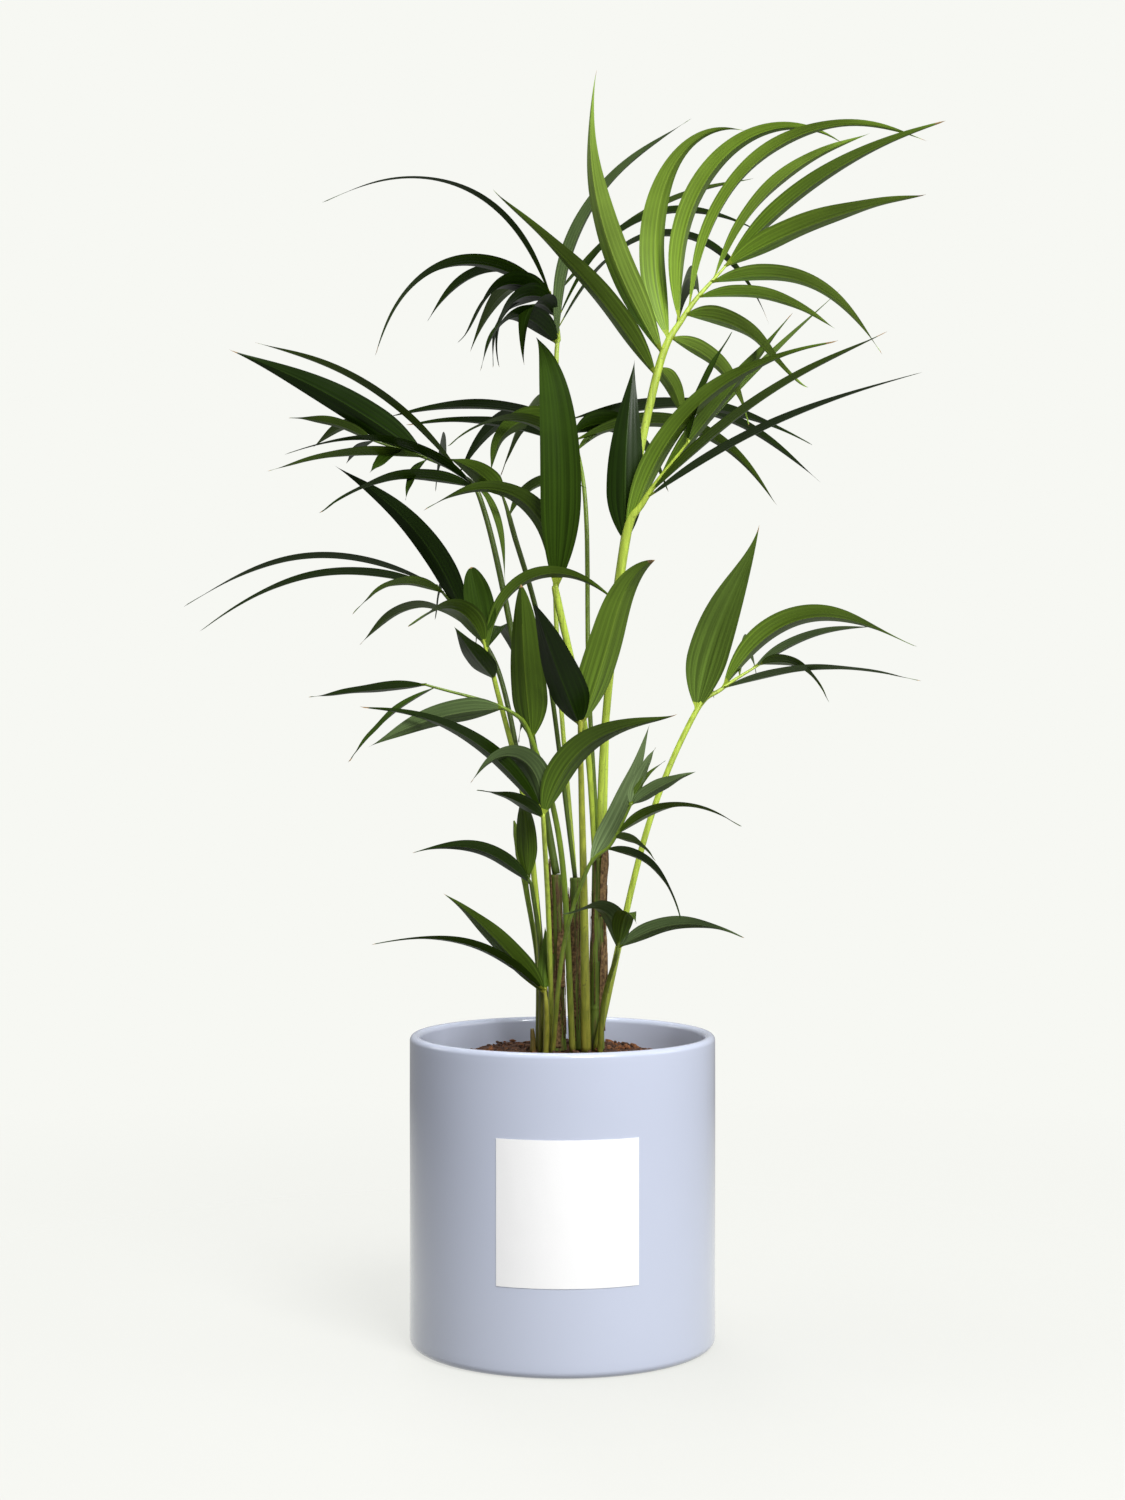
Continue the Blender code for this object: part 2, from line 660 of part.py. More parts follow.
def make_limb(name, rows):
    """A lone limb given by points with a radius at each."""
    points = [seen(*point) for point, _ in rows]
    points[0].z = SOIL_TOP + GAP
    radii = [radius * CM for _, radius in rows]
    bm = bmesh.new()
    tube(bm, points, radii, SPEAR_SIDES, flat_foot=True)
    return object_from(name, bm, material(name, (0.10, 0.16, 0.03), 0.5))


def make_stalks(lines):
    for name, frond in FRONDS.items():
        stalk, _ = lines[name]
        bm = bmesh.new()
        tube(bm, stalk, taper(*frond.radii, len(stalk)), STALK_SIDES, flat_foot=True)
        object_from("stalk_" + name, bm, material("stalk " + name, (0.30, 0.42, 0.06), 0.45))


def make_fronds(lines):
    """Each frond: its rib, and the leaflets that find a clear way past all that is there already."""
    obstacles = []
    for obj in bpy.context.scene.objects:
        bm = bmesh.new()
        bm.from_mesh(obj.data)
        obstacles.append((obj.name, tree_of(bm)))
        bm.free()
    ribs = {}
    for name, frond in FRONDS.items():
        rib = lines[name][1]
        ribs[name] = bmesh.new()
        tube(ribs[name], rib, rib_radii(frond, len(rib)), STALK_SIDES)
        copy = ribs[name].copy()
        obstacles.append(("frond_" + name, tree_of(copy)))
        copy.free()
    for name, frond in FRONDS.items():
        green = material("frond " + name, (0.06, 0.12, 0.02), 0.4)
        node = "frond_" + name
        base = solid_part(node + " rib", ribs[name], green)
        pieces = []
        for number, row in enumerate(frond.leaflets):
            leaflet = Leaflet(*row)
            root = place_on(lines[name][1], leaflet.share)
            others = [tree for owner, tree in obstacles if owner not in (node, "stalk_" + name)]
            own_stalk = next(tree for owner, tree in obstacles if owner == "stalk_" + name)
            facing = clear_facing(root, leaflet, others, own_stalk)
            if facing is None:
                continue
            bm = bmesh.new()
            leaflet_shape(bm, root, leaflet, facing)
            copy = bm.copy()
            obstacles.append((node, tree_of(copy)))
            copy.free()
            pieces.append(solid_part(f"{node} leaflet {number}", bm, green))
        join(node, base, pieces, green)


def main():
    clear_scene()
    make_pot()
    make_soil()
    make_label()
    for name, cane in CANES.items():
        make_cane(name, cane)
    make_limb("spear", SPEAR)
    make_limb("stub", STUB)
    lines = {name: stalk_and_rib(frond) for name, frond in FRONDS.items()}
    make_stalks(lines)
    make_fronds(lines)


main()
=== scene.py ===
"""The dressed kentia palm: fine leaflets, stalks, canes, soil, glazed pot and blank label.

Every piece follows the same rule and the same sizes as the solid that it stands for. X runs to the
right, Y away from the front, Z up, in metres unless a comment says otherwise.
"""

import math
import random
from collections import namedtuple
from functools import partial
from itertools import product

import bpy
import numpy as np
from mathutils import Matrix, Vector, noise
from mathutils.kdtree import KDTree


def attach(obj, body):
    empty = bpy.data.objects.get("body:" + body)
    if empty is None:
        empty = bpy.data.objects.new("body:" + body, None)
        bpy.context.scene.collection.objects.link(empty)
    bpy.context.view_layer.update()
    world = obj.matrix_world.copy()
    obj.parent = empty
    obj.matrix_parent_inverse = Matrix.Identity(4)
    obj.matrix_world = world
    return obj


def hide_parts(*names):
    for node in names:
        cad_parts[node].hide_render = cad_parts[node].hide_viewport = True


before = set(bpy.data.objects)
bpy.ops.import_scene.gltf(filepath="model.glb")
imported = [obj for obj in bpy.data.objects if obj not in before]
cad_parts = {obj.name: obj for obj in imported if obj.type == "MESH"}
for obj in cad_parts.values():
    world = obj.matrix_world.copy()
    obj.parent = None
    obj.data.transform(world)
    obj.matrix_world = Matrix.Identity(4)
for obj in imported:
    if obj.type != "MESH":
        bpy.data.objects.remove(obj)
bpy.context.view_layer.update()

SEED = 7
CM = 0.01
# What keeps one piece clear of the next
GAP = 0.0003

# The photograph's viewpoint: how far in front and how high it is, in cm, and its lens
EYE_AWAY = 205
EYE_UP = 50
LENS = 62.0
VIEW_SHIFT = -0.026

# The pot and its label
POT_RADIUS = 0.121
POT_HEIGHT = 0.244
POT_WALL = 0.0085
POT_FLOOR = 0.010
POT_RIM_ROUND = 0.0042
POT_FOOT_ROUND = 0.006
POT_BASE_RING = 0.06
POT_SIDES = 192
POT_RIPPLE = 0.00012
LABEL_WIDTH = 0.111
LABEL_HEIGHT = 0.111
LABEL_MIDDLE = 0.1238
LABEL_TURN = math.radians(2)
LABEL_OFF = 0.00022
LABEL_THICKNESS = 0.0002
LABEL_CURL = 0.00008
LABEL_COLUMNS = 60
LABEL_ROWS = 24

# The soil: a mound with a flat middle, and the crumbs on it
SOIL_TOP = 0.230
SOIL_EDGE = 0.204
SOIL_BOTTOM = 0.16
SOIL_FLAT = 0.066
SOIL_REACH = POT_RADIUS - POT_WALL - GAP
SOIL_RINGS = 60
SOIL_SIDES = 180
CRUMB_COUNT = 1500
CRUMB_SIZES = (0.0009, 0.0013, 0.0018, 0.0026)

# Leaflets, as the solids have them
LEAF_ROOT_WIDE = 0.34
LEAF_FOLD = 0.16
LEAF_FINE_STEPS = 48
LEAF_FULL = 0.28
LEAF_NARROWS = 0.3
LEAF_LATE = 2.0
CURL_FROM = 0.5
ROOT_FROM_STALK = 0.4
ROOT_FROM_END = 0.12
NUDGES = (0, 5, -5, 10, -10, 15, -15, 20, -20, 26, -26, 32, -32)
SPAN_STEPS = 4
RIB_END_RADIUS = 0.09
SAME_PLACE = 0.0006

# What the solids leave out of a leaflet: where its points lie from the midrib (0) to the edge (1),
# its thickness, the height of its veins and its midrib, its waved edge and how far its tip twists.
# Below the slim half width it is thinner and flatter. The last rows at its tip may be dry.
LEAF_COLUMNS = (0.04, 0.09, 0.17, 0.25, 0.33, 0.41, 0.49, 0.57, 0.65, 0.73, 0.81, 0.90, 1.0)
LEAF_THICK = 0.0005
LEAF_SLIM = 0.008
VEIN_COUNT = 3
VEIN_HIGH = 0.00008
MIDRIB_HIGH = 0.0003
MIDRIB_WIDE = 0.0008
MIDRIB_BELOW = 0.6
EDGE_WAVE = 0.0009
EDGE_WAVES = (1.5, 3.0)
TIP_TWIST = 15
COLLAR_ROWS = 2
MIDRIB_ROWS = 36
DRY_ROWS = (0, 0, 1, 1, 2)

# Stalks and canes: where their feet are, and how finely each is made
LIMB_FOOT = SOIL_TOP + GAP
LIMB_STEPS = 24
LIMB_SIDES = 20
SPEAR_STEPS = 12
SPEAR_SIDES = 28
STUB_STEPS = 6
CANE_STEPS = 150
CANE_SIDES = 40

# What clings to a cane: how far up it its leaf scars are, and its old fibres and torn husks
LEAF_SCARS = (0.22, 0.46, 0.69, 0.985)
FIBRES_PER_CANE = 46
FIBRE_STEPS = 8
HUSK_THICK = 0.0004
HUSK_COLUMNS = 22
HUSK_ROWS = 30

# The floor and the backdrop that it fades into
BACKDROP = (0.930, 0.938, 0.897)
FLOOR_REACH = 1.4
FLOOR_FADES = 0.3
FLOOR_SIDES = 96
FLOOR_DROP = 0.0002

Cane = namedtuple("Cane", "foot top foot_radius top_radius")
CANES = {
    "stem_1": Cane((-0.3, 0.4, 23.0), (-0.5, 0.4, 37.0), 0.58, 0.44),
    "stem_2": Cane((1.15, 1.2, 23.0), (1.0, 1.2, 36.7), 0.44, 0.40),
    "stem_3": Cane((2.7, 0.7, 23.0), (2.9, 0.5, 38.3), 0.60, 0.54),
}

# A frond: what it grows from and where on it, as (right, back) from the pot's axis; its stalk's
# middle and end, and its rib's middle and end, as (right, up, back), seen from the front; the
# stalk's radius at its foot and its end; and its leaflets.
Frond = namedtuple("Frond", "carrier foot bow crown rib_bow rib_end radii leaflets")

# A leaflet: where its root sits along the rib (0 at the stalk, 1 at the end), the way it faces
# (degrees round the plant, 0 to the right, 90 to the back), how far it leans from upright at its
# root, how much further it has bent over by its tip, its length and its full width, how far its
# blade is turned up towards the front, how far the outer half curls over, or back, besides, and
# how finely it is drawn out to its tip.
Leaflet = namedtuple("Leaflet", "share facing lean bend length width roll curl point", defaults=(0, 1.5))

FRONDS = {
    "upper_right": Frond(
        "stem_3", (3.22, 0.5), (4.0, 57.2, 1.2), (7.3, 75.9, 2.0), (9.7, 81.4, 2.4), (13.1, 85.5, 3.0),
        (0.21, 0.34),
        (
            (0.05, 186, 34, 17, 19.9, 2.8, 28, -5),
            (0.21, 205, 34, -35, 23.8, 2.9, 20, -11, 1.9),
            (0.32, -20, -14, 50, 21.4, 2.6, 36, 78),
            (0.46, 12, -2, 76, 25.5, 2.6, 48, 49),
            (0.58, 5, 11, 81, 28.3, 2.3, 26, 21),
            (0.85, 20, 27, 41, 19.6, 2.2, 30),
            (1.00, -3, 43, 28, 21.2, 2.3, 28, 0, 1.2),
            (0.97, -20, 65, 18, 17.2, 2.6, 30, 0, 1.2),
            (0.82, -32, 84, 61, 17.8, 2.0, 30),
            (0.68, -18, 85, 40, 12, 1.8, 20),
            (0.53, -40, 99, 55, 14.1, 2.4, 40, -42),
            (0.34, -18, 113, 51, 10.3, 2.0, 44),
            (0.12, 60, 112, 45, 6.5, 1.5, 30),
            (0.70, 95, 60, 70, 17, 2.0, 80),
        ),
    ),
    "mid_right": Frond(
        "stem_3", (2.9, 0.16), (3.3, 47.7, -1.2), (4.9, 62.9, -3.0), (6.5, 66.7, -3.6), (10.1, 71.5, -4.2),
        (0.20, 0.40),
        (
            (0.02, 250, 3, -24, 15, 2.9, 20),
            (0.04, -13, 17, 61, 24.3, 2.4, 32),
            (0.61, 22, 40, 1, 18, 2.0, 48),
            (0.81, 58, 58, 3, 34.1, 1.6, 14),
            (0.97, 30, 16, 18, 10, 1.6, 10),
            (0.46, -17, 48, 19, 22.5, 1.8, 12),
            (0.42, -28, 61, 17, 24.5, 1.6, 6),
        ),
    ),
    "middle": Frond(
        "stem_3", (2.58, 0.5), (1.8, 48.4, -1.5), (-0.4, 58.8, -2.5), (-0.5, 59.6, -2.6), (-0.5, 60.4, -2.7),
        (0.20, 0.30),
        (
            (0.34, 100, -20, 88, 27, 3.2, 4),
            (0.50, 195, 1, 120, 16, 2.2, 36),
        ),
    ),
    "upper_left": Frond(
        "stem_1", (-0.5, 0.4), (-3.0, 50.9, 1.2), (-6.1, 65.5, 2.0), (-8.5, 69.0, 2.6), (-15.1, 71.5, 4.0),
        (0.32, 0.22),
        (
            (0.60, 170, 54, 14, 19, 2.5, 76),
            (0.32, 150, 45, 29, 24.5, 1.7, 36),
            (1.00, 160, 63, 23, 8, 1.3, 42),
            (0.22, 200, 57, 52, 16.5, 1.8, 14),
            (0.62, 215, 88, 19, 14.5, 1.7, 20),
            (1.00, 110, 94, 7, 8.5, 1.5, -10),
            (0.79, 255, 106, 5, 8, 1.6, 8),
            (0.20, 205, 78, 45, 14, 1.9, 24),
            (0.59, 250, 112, 34, 6, 1.4, 22),
            (0.33, 300, 110, 62, 12.5, 1.4, 28),
            (0.45, 96, 60, 65, 17, 2.0, 80),
            (0.80, 125, 60, 50, 15, 1.8, 14),
        ),
    ),
    "left_arch": Frond(
        "stem_2", (1.0, 0.99), (-1.4, 54.8, 0.6), (-3.9, 64.2, 0.4), (-4.4, 66.0, 0.2), (-4.8, 67.2, 0.0),
        (0.18, 0.22),
        (
            (0.95, 225, 53, 26, 6.5, 1.9, 36),
            (0.40, 20, 30, 80, 8, 1.6, 36),
        ),
    ),
    "top_left": Frond(
        "stem_2", (1.0, 1.41), (-0.5, 57.2, 4.6), (-0.5, 76.9, 6.4), (-0.3, 79.8, 7.0), (-1.0, 83.3, 8.0),
        (0.18, 0.20),
        (
            (0.90, 195, 24, 92, 24, 1.3, 8),
            (0.93, 205, 61, 99, 20, 2.0, 22, 0, 1.0),
            (1.00, 160, 55, 89, 13, 2.0, 14, 0, 1.2),
            (0.83, 220, 60, 124, 12.6, 2.3, 36, -63),
            (0.32, 235, 59, 97, 13.3, 2.4, 20),
            (0.94, 215, 96, 84, 9.8, 2.0, 42),
            (0.61, 30, 28, 76, 25.7, 1.4, 30, 5),
            (0.52, 40, 35, 90, 30.5, 1.4, 20, 27),
            (0.89, 40, 46, 29, 27, 1.6, 32),
            (0.31, 5, 3, 56, 23.1, 2.2, 32, -3),
            (0.70, 115, 55, 75, 20, 2.0, 10),
            (0.90, 232, 86, 87, 11.4, 2.2, 42, 26),
            (0.68, 250, 73, 94, 11.3, 2.2, 18, 33),
        ),
    ),
    "rear": Frond(
        "stem_3", (2.9, 0.85), (2.1, 52.0, 3.5), (1.9, 65.2, 6.5), (1.2, 70.7, 9.0), (0.0, 74.3, 12.0),
        (0.20, 0.20),
        (
            (0.75, 20, 70, 43, 23, 1.9, 20),
            (0.84, 30, 74, 50, 27.5, 1.9, 16),
            (0.64, 8, 69, 76, 20, 2.0, 30),
            (0.71, 8, 62, 112, 8.5, 2.4, 40),
            (0.79, 160, 72, 27, 17, 1.7, 22),
            (0.56, 170, 67, 28, 15, 1.6, 22),
            (0.47, 185, 46, 81, 13, 1.8, 26),
            (0.73, 200, 65, 110, 10.5, 2.1, 54),
            (0.95, 92, 82, 50, 18, 2.0, 78),
            (1.00, 110, 78, 55, 18, 2.0, 76),
            (0.70, 130, 62, 75, 18, 2.0, 16),
            (0.55, 55, 60, 80, 16, 2.0, 14),
        ),
    ),
    "front": Frond(
        "soil", (1.85, -0.6), (1.7, 35.0, -3.0), (1.4, 48.1, -7.0), (1.5, 48.7, -7.1), (1.6, 49.4, -7.2),
        (0.42, 0.19),
        (
            (0.80, -35, 23, -9, 14.5, 3.1, 22, 61, 0.8),
            (0.30, 235, 36, -6, 11, 3.2, 18, 0, 0.9),
        ),
    ),
    "front_left": Frond(
        "soil", (0.8, -1.2), (-0.1, 38.7, -4.2), (-2.3, 47.3, -6.5), (-4.4, 50.1, -7.5), (-10.9, 52.1, -9.0),
        (0.26, 0.20),
        (
            (0.04, 240, 12, -9, 12, 3.0, 8, 0, 0.7),
            (1.00, 185, 95, 2, 9, 1.3, 36),
            (0.38, 215, 93, 21, 12.5, 2.1, 58),
            (0.92, 230, 110, 21, 11, 1.4, 8),
            (0.10, 95, 60, 70, 12, 2.0, 80),
        ),
    ),
    "low_front": Frond(
        "soil", (-0.8, -1.2), (-1.1, 33.4, -4.5), (-1.5, 40.9, -8.5), (-1.55, 41.6, -8.6), (-1.6, 42.2, -8.7),
        (0.22, 0.18),
        (
            (0.57, -15, 20, 74, 14, 2.5, 44, -23),
            (0.95, 215, 4, 135, 10, 2.2, 36),
            (0.85, 195, 39, 45, 17.5, 1.6, 34),
            (0.40, 230, 63, 21, 8, 1.5, 24),
        ),
    ),
    "low_left": Frond(
        "soil", (-1.75, -1.0), (-1.7, 30.2, -2.0), (-2.4, 35.8, -3.5), (-2.6, 36.4, -3.6), (-2.8, 37.0, -3.7),
        (0.22, 0.17),
        (
            (0.50, 200, 48, 55, 10.5, 1.5, 40),
            (0.80, 265, 15, 50, 9, 1.6, 8),
        ),
    ),
    "mid_left": Frond(
        "soil", (-1.35, -0.2), (-2.6, 40.2, -2.5), (-5.3, 52.1, -5.0), (-5.9, 54.0, -5.6), (-6.4, 56.2, -6.2),
        (0.26, 0.20),
        (
            (0.78, 225, 33, 106, 9.3, 2.2, 22, -29, 1.1),
            (0.10, 250, 68, -6, 9, 1.9, 14),
            (0.57, 15, 9, 119, 15, 1.7, 36),
            (1.00, 125, 11, 11, 5.5, 2.4, -16, 0, 0.6),
            (0.90, 95, 55, 80, 13, 2.0, 80),
        ),
    ),
    "far_left": Frond(
        "soil", (-1.0, 1.5), (-2.7, 40.6, 3.0), (-5.0, 52.9, 5.0), (-8.1, 57.6, 6.5), (-10.0, 60.0, 8.0),
        (0.26, 0.20),
        (
            (0.51, 160, 25, 34, 18.5, 2.3, 74),
            (1.00, 175, 68, 53, 22.5, 1.6, 16),
            (0.95, 195, 76, 49, 21, 1.6, 20),
            (0.90, 220, 72, 61, 10, 1.4, 26),
            (0.75, 98, 55, 75, 18, 2.0, 80),
            (0.40, 135, 60, 65, 16, 2.0, 16),
            (0.25, 80, 62, 70, 15, 2.0, 8),
        ),
    ),
    "low_right": Frond(
        "soil", (-0.8, -2.2), (0.1, 31.4, -4.5), (2.0, 37.5, -7.5), (3.9, 39.5, -8.5), (5.5, 42.7, -9.5),
        (0.20, 0.16),
        (
            (0.05, 60, 53, -22, 14.5, 1.8, -4),
            (0.97, 60, 35, 16, 6, 1.3, 4),
            (0.92, 30, 27, 30, 5, 1.0, -4),
            (1.00, 0, 56, 14, 5.5, 1.3, 56),
            (0.57, -25, 54, 63, 11, 1.4, 30),
            (0.53, -50, 91, 36, 5, 1.1, 48),
            (0.35, -35, 95, 64, 9, 1.2, 46),
        ),
    ),
    "far_right": Frond(
        "soil", (2.62, -0.35), (6.6, 40.2, 0.6), (10.4, 49.6, 2.0), (12.7, 51.8, 2.8), (15.8, 53.8, 4.0),
        (0.27, 0.22),
        (
            (0.06, 40, 17, 23, 16.9, 3.5, -30, -23, 1.6),
            (0.46, 15, 35, 93, 19.5, 2.9, 50, -20, 2.4),
            (0.89, 0, 55, 32, 10.5, 1.4, 34),
            (0.97, -45, 81, 64, 8.5, 1.4, 38),
            (0.45, -20, 74, 28, 16.5, 1.3, 26),
            (0.70, 80, 55, 70, 15, 1.9, 80),
            (0.25, 84, 55, 70, 13, 1.9, 80),
        ),
    ),
    "bottom_right": Frond(
        "soil", (2.95, -1.2), (3.3, 27.1, -2.5), (4.3, 30.6, -5.0), (4.4, 31.2, -5.1), (4.5, 31.7, -5.2),
        (0.22, 0.17),
        (
            (0.50, 215, 2, 137, 7.6, 2.4, 14, -60),
            (0.60, -15, 59, 51, 10.5, 1.5, 56),
            (0.80, 280, 35, 75, 8, 1.6, 10),
        ),
    ),
    "bottom_left": Frond(
        "soil", (-1.3, -1.9), (-1.25, 24.7, -2.3), (-1.3, 26.7, -3), (-1.35, 27.3, -3.1), (-1.4, 28, -3.2),
        (0.26, 0.20),
        (
            (0.60, 205, 42, 6, 11.9, 2.1, 34, 9),
            (0.80, 225, 56, 38, 19, 1.2, 18),
            (0.90, 250, -14, 27, 5, 1.3, 40),
        ),
    ),
}

# The unopened leaf and the stub of a cut one: points as (right, up, back) with a radius at each
SPEAR = (
    ((-1.95, 23.0, 0.35), 0.22),
    ((-2.0, 30.0, -0.2), 0.17),
    ((-2.9, 36.0, -0.9), 0.22),
    ((-3.3, 38.6, -1.1), 0.42),
    ((-3.6, 40.2, -1.2), 0.30),
    ((-3.85, 41.3, -1.3), 0.06),
)
STUB = (
    ((-2.35, 23.0, -0.55), 0.26),
    ((-2.35, 23.9, -0.6), 0.22),
    ((-2.4, 24.8, -0.65), 0.15),
)

# Torn husks: which cane each is on, how far up it starts and ends, and the arc it covers as seen
# from above, in degrees, with 90 to the front
HUSKS = (
    ("stem_1", 0.02, 0.42, 70, 150),
    ("stem_1", 0.36, 0.70, 20, 95),
    ("stem_1", 0.55, 1.10, 120, 200),
    ("stem_2", 0.05, 0.95, 95, 190),
    ("stem_2", 0.30, 0.85, -10, 60),
    ("stem_3", 0.10, 0.62, 5, 75),
    ("stem_3", 0.48, 0.86, -40, 40),
    ("stem_3", 0.70, 1.16, 10, 80),
    ("stem_3", 0.00, 0.36, 200, 290),
)

# Soft square lamps: where each is, what it aims at, its size and its power. The one behind gives
# no glare, because leaflets that point away would mirror it.
LAMPS = {
    "key": ((0.95, -2.05, 2.4), (0, 0, 0.45), 1.3, 116),
    "side": ((2.6, -0.2, 1.4), (0, 0, 0.5), 1.4, 8),
    "top": ((-0.35, 0.2, 2.9), (0, 0, 0.5), 1.3, 40),
    "left": ((-2.4, 0.9, 1.3), (0, 0, 0.4), 0.9, 4),
    "back": ((-0.6, 2.6, 1.7), (0, 0, 0.5), 1.4, 42),
}
NO_GLARE = "back"

# Plain base colours of a leaflet's upper side, underside and midrib, for each tint. The tints are partly the
# leaflets' own green and partly painted light and shade: the paler tints paint leaflets that the light falls
# on, deep and dark paint shaded ones, and soft paints a grey-green sheen on some leaflets and stands for a
# pale underside on others.
LEAF_TINTS_AND_PAINTED_LIGHT = {
    "deep": ((0.008, 0.020, 0.001), (0.009, 0.021, 0.001), (0.018, 0.040, 0.003)),
    "dark": ((0.016, 0.036, 0.002), (0.018, 0.038, 0.003), (0.030, 0.060, 0.004)),
    "mid": ((0.050, 0.088, 0.008), (0.054, 0.090, 0.013), (0.076, 0.124, 0.012)),
    "fresh": ((0.088, 0.148, 0.015), (0.096, 0.154, 0.024), (0.128, 0.200, 0.022)),
    "bright": ((0.128, 0.206, 0.022), (0.138, 0.214, 0.032), (0.185, 0.280, 0.034)),
    "pale": ((0.200, 0.310, 0.045), (0.210, 0.315, 0.075), (0.270, 0.390, 0.060)),
    "soft": ((0.066, 0.102, 0.034), (0.082, 0.118, 0.048), (0.096, 0.138, 0.046)),
}
# What those three are called, with the roughness and gloss of each
LEAF_SIDES = (("leaf", 0.36, 0.13), ("underside", 0.62, 0.03), ("midrib", 0.36, 0.13))
LIMB_TINTS = {
    "green": (0.150, 0.235, 0.014),
    "dull": (0.070, 0.115, 0.010),
    "lime": (0.400, 0.520, 0.055),
    "yellow": (0.360, 0.400, 0.040),
    "brown": (0.130, 0.072, 0.020),
}

# The tint of each of a frond's leaflets, in the order of its rows, and of its limb. The leaflets' tints carry
# painted light and shade as well as their own green.
FROND_TINTS_AND_PAINTED_LIGHT = {
    "upper_right": (
        "fresh pale bright bright bright bright fresh bright pale pale pale pale bright mid",
        "lime",
    ),
    "mid_right": ("deep fresh mid mid dark mid dark", "lime"),
    "middle": ("dark mid", "lime"),
    "upper_left": ("deep mid mid dark mid dark dark dark dark mid dark mid", "dull"),
    "left_arch": ("mid mid", "dull"),
    "top_left": ("dark dark dark deep deep deep dark dark mid soft mid deep deep", "lime"),
    "rear": ("dark dark mid dark dark dark mid mid dark mid dark mid", "green"),
    "front": ("fresh deep", "yellow"),
    "front_left": ("mid dark soft dark mid", "green"),
    "low_front": ("mid soft dark dark", "lime"),
    "low_left": ("dark mid", "dull"),
    "mid_left": ("mid dark mid dark mid", "lime"),
    "far_left": ("deep dark dark mid dark mid dark", "dull"),
    "low_right": ("soft soft mid soft mid mid dark", "green"),
    "far_right": ("mid fresh soft mid soft mid mid", "lime"),
    "bottom_right": ("soft soft mid", "green"),
    "bottom_left": ("mid dark mid", "yellow"),
}


def object_from(name, points, faces, materials, face_materials=(), uvs=()):
    """A smooth mesh object of these points and faces."""
    mesh = bpy.data.meshes.new(name)
    mesh.from_pydata([tuple(point) for point in points], [], faces)
    for made in materials:
        mesh.materials.append(made)
    if face_materials:
        mesh.polygons.foreach_set("material_index", np.asarray(face_materials, dtype=np.int32))
    if uvs:
        layer = mesh.uv_layers.new(name="leaf")
        corners = np.empty(len(mesh.loops), dtype=np.int32)
        mesh.loops.foreach_get("vertex_index", corners)
        layer.data.foreach_set("uv", np.asarray(uvs, dtype=np.float32)[corners].ravel())
    mesh.shade_smooth()
    mesh.update()
    obj = bpy.data.objects.new(name, mesh)
    bpy.context.scene.collection.objects.link(obj)
    return obj


def dress(obj, slot, *nodes):
    """The piece moves with the plant and stands for these solids, which it hides; slot is not used."""
    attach(obj, "root")
    if nodes:
        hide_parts(*nodes)


class Patch:
    """Points, faces, their materials and their places on the leaf, gathered for one piece."""

    def __init__(self):
        self.points, self.faces, self.kinds, self.uvs = [], [], [], []

    def add(self, points, faces, kinds=(), uvs=()):
        first = len(self.points)
        self.points += points
        self.faces += [tuple(first + i for i in face) for face in faces]
        self.kinds += kinds
        self.uvs += uvs

    def piece(self, name, materials):
        return object_from(name, self.points, self.faces, materials, self.kinds, self.uvs)


def turns(count):
    """Evenly spaced turns, once round."""
    return [math.tau * k / count for k in range(count)]


def around(radius, turn, height=0):
    """The point at this radius, this turn about the upright axis and this height."""
    return Vector((radius * math.cos(turn), radius * math.sin(turn), height))


def band(low, high, sides):
    """The faces between two rings of points."""
    return [(low + k, low + (k + 1) % sides, high + (k + 1) % sides, high + k) for k in range(sides)]


def fan(tip, ring, sides):
    """The faces between a point and a ring round it."""
    return [(tip, ring + k, ring + (k + 1) % sides) for k in range(sides)]


def seen(right, up, back):
    """The place that shows there in the photograph and lies this far back, all in cm."""
    spread = (EYE_AWAY + back) / EYE_AWAY
    return Vector((right * spread, back, EYE_UP + (up - EYE_UP) * spread)) * CM


def along(points, steps):
    """Points on a smooth curve through these points, so many to a span."""
    ends = [points[0] * 2 - points[1], *points, points[-1] * 2 - points[-2]]
    curve = []
    for span in range(len(points) - 1):
        a, b, c, d = ends[span : span + 4]
        last = span == len(points) - 2
        for i in range(steps + last):
            t = i / steps
            even = b * 2 + (c - a) * t
            bend = (a * 2 - b * 5 + c * 4 - d) * t**2
            twist = (b * 3 - a - c * 3 + d) * t**3
            curve.append((even + bend + twist) / 2)
    return curve


def frond_points(frond):
    """A frond's foot, its stalk's middle and end, and its rib's middle and end."""
    carrier_top = CANES[frond.carrier].top[2] * CM if frond.carrier in CANES else SOIL_TOP
    foot = Vector((frond.foot[0] * CM, frond.foot[1] * CM, carrier_top + GAP))
    return [foot, seen(*frond.bow), seen(*frond.crown), seen(*frond.rib_bow), seen(*frond.rib_end)]


def rib_line(frond):
    """The rib as the solid has it, so that every leaflet starts where the solid's does."""
    rib = along(frond_points(frond), SPAN_STEPS)[2 * SPAN_STEPS :]
    start = (rib[1] - rib[0]).normalized() * GAP
    return [rib[0] + start, *rib[1:]]


def place_on(line, share):
    """The point this far along a line, kept off its ends."""
    lengths = [(b - a).length for a, b in zip(line, line[1:])]
    whole = sum(lengths)
    want = min(max(share * whole, ROOT_FROM_STALK * CM), whole - ROOT_FROM_END * CM)
    for start, end, length in zip(line, line[1:], lengths):
        if want <= length:
            return start.lerp(end, want / length)
        want -= length
    return line[-1]


def leaflet_line(root, leaflet, facing):
    """Points and headings along a leaflet: it leans, and bends over mostly in its middle."""
    way = around(1, math.radians(facing))
    point = root.copy()
    line = []
    for i in range(LEAF_FINE_STEPS + 1):
        share = (i + 0.5) / LEAF_FINE_STEPS
        curl = leaflet.curl * (max(share - CURL_FROM, 0) / (1 - CURL_FROM)) ** 2
        lean = math.radians(leaflet.lean + leaflet.bend * share**2 * (3 - 2 * share) + curl)
        ahead = way * math.sin(lean) + Vector((0, 0, math.cos(lean)))
        line.append((point.copy(), ahead))
        point = point + ahead * (leaflet.length * CM / LEAF_FINE_STEPS)
    return line


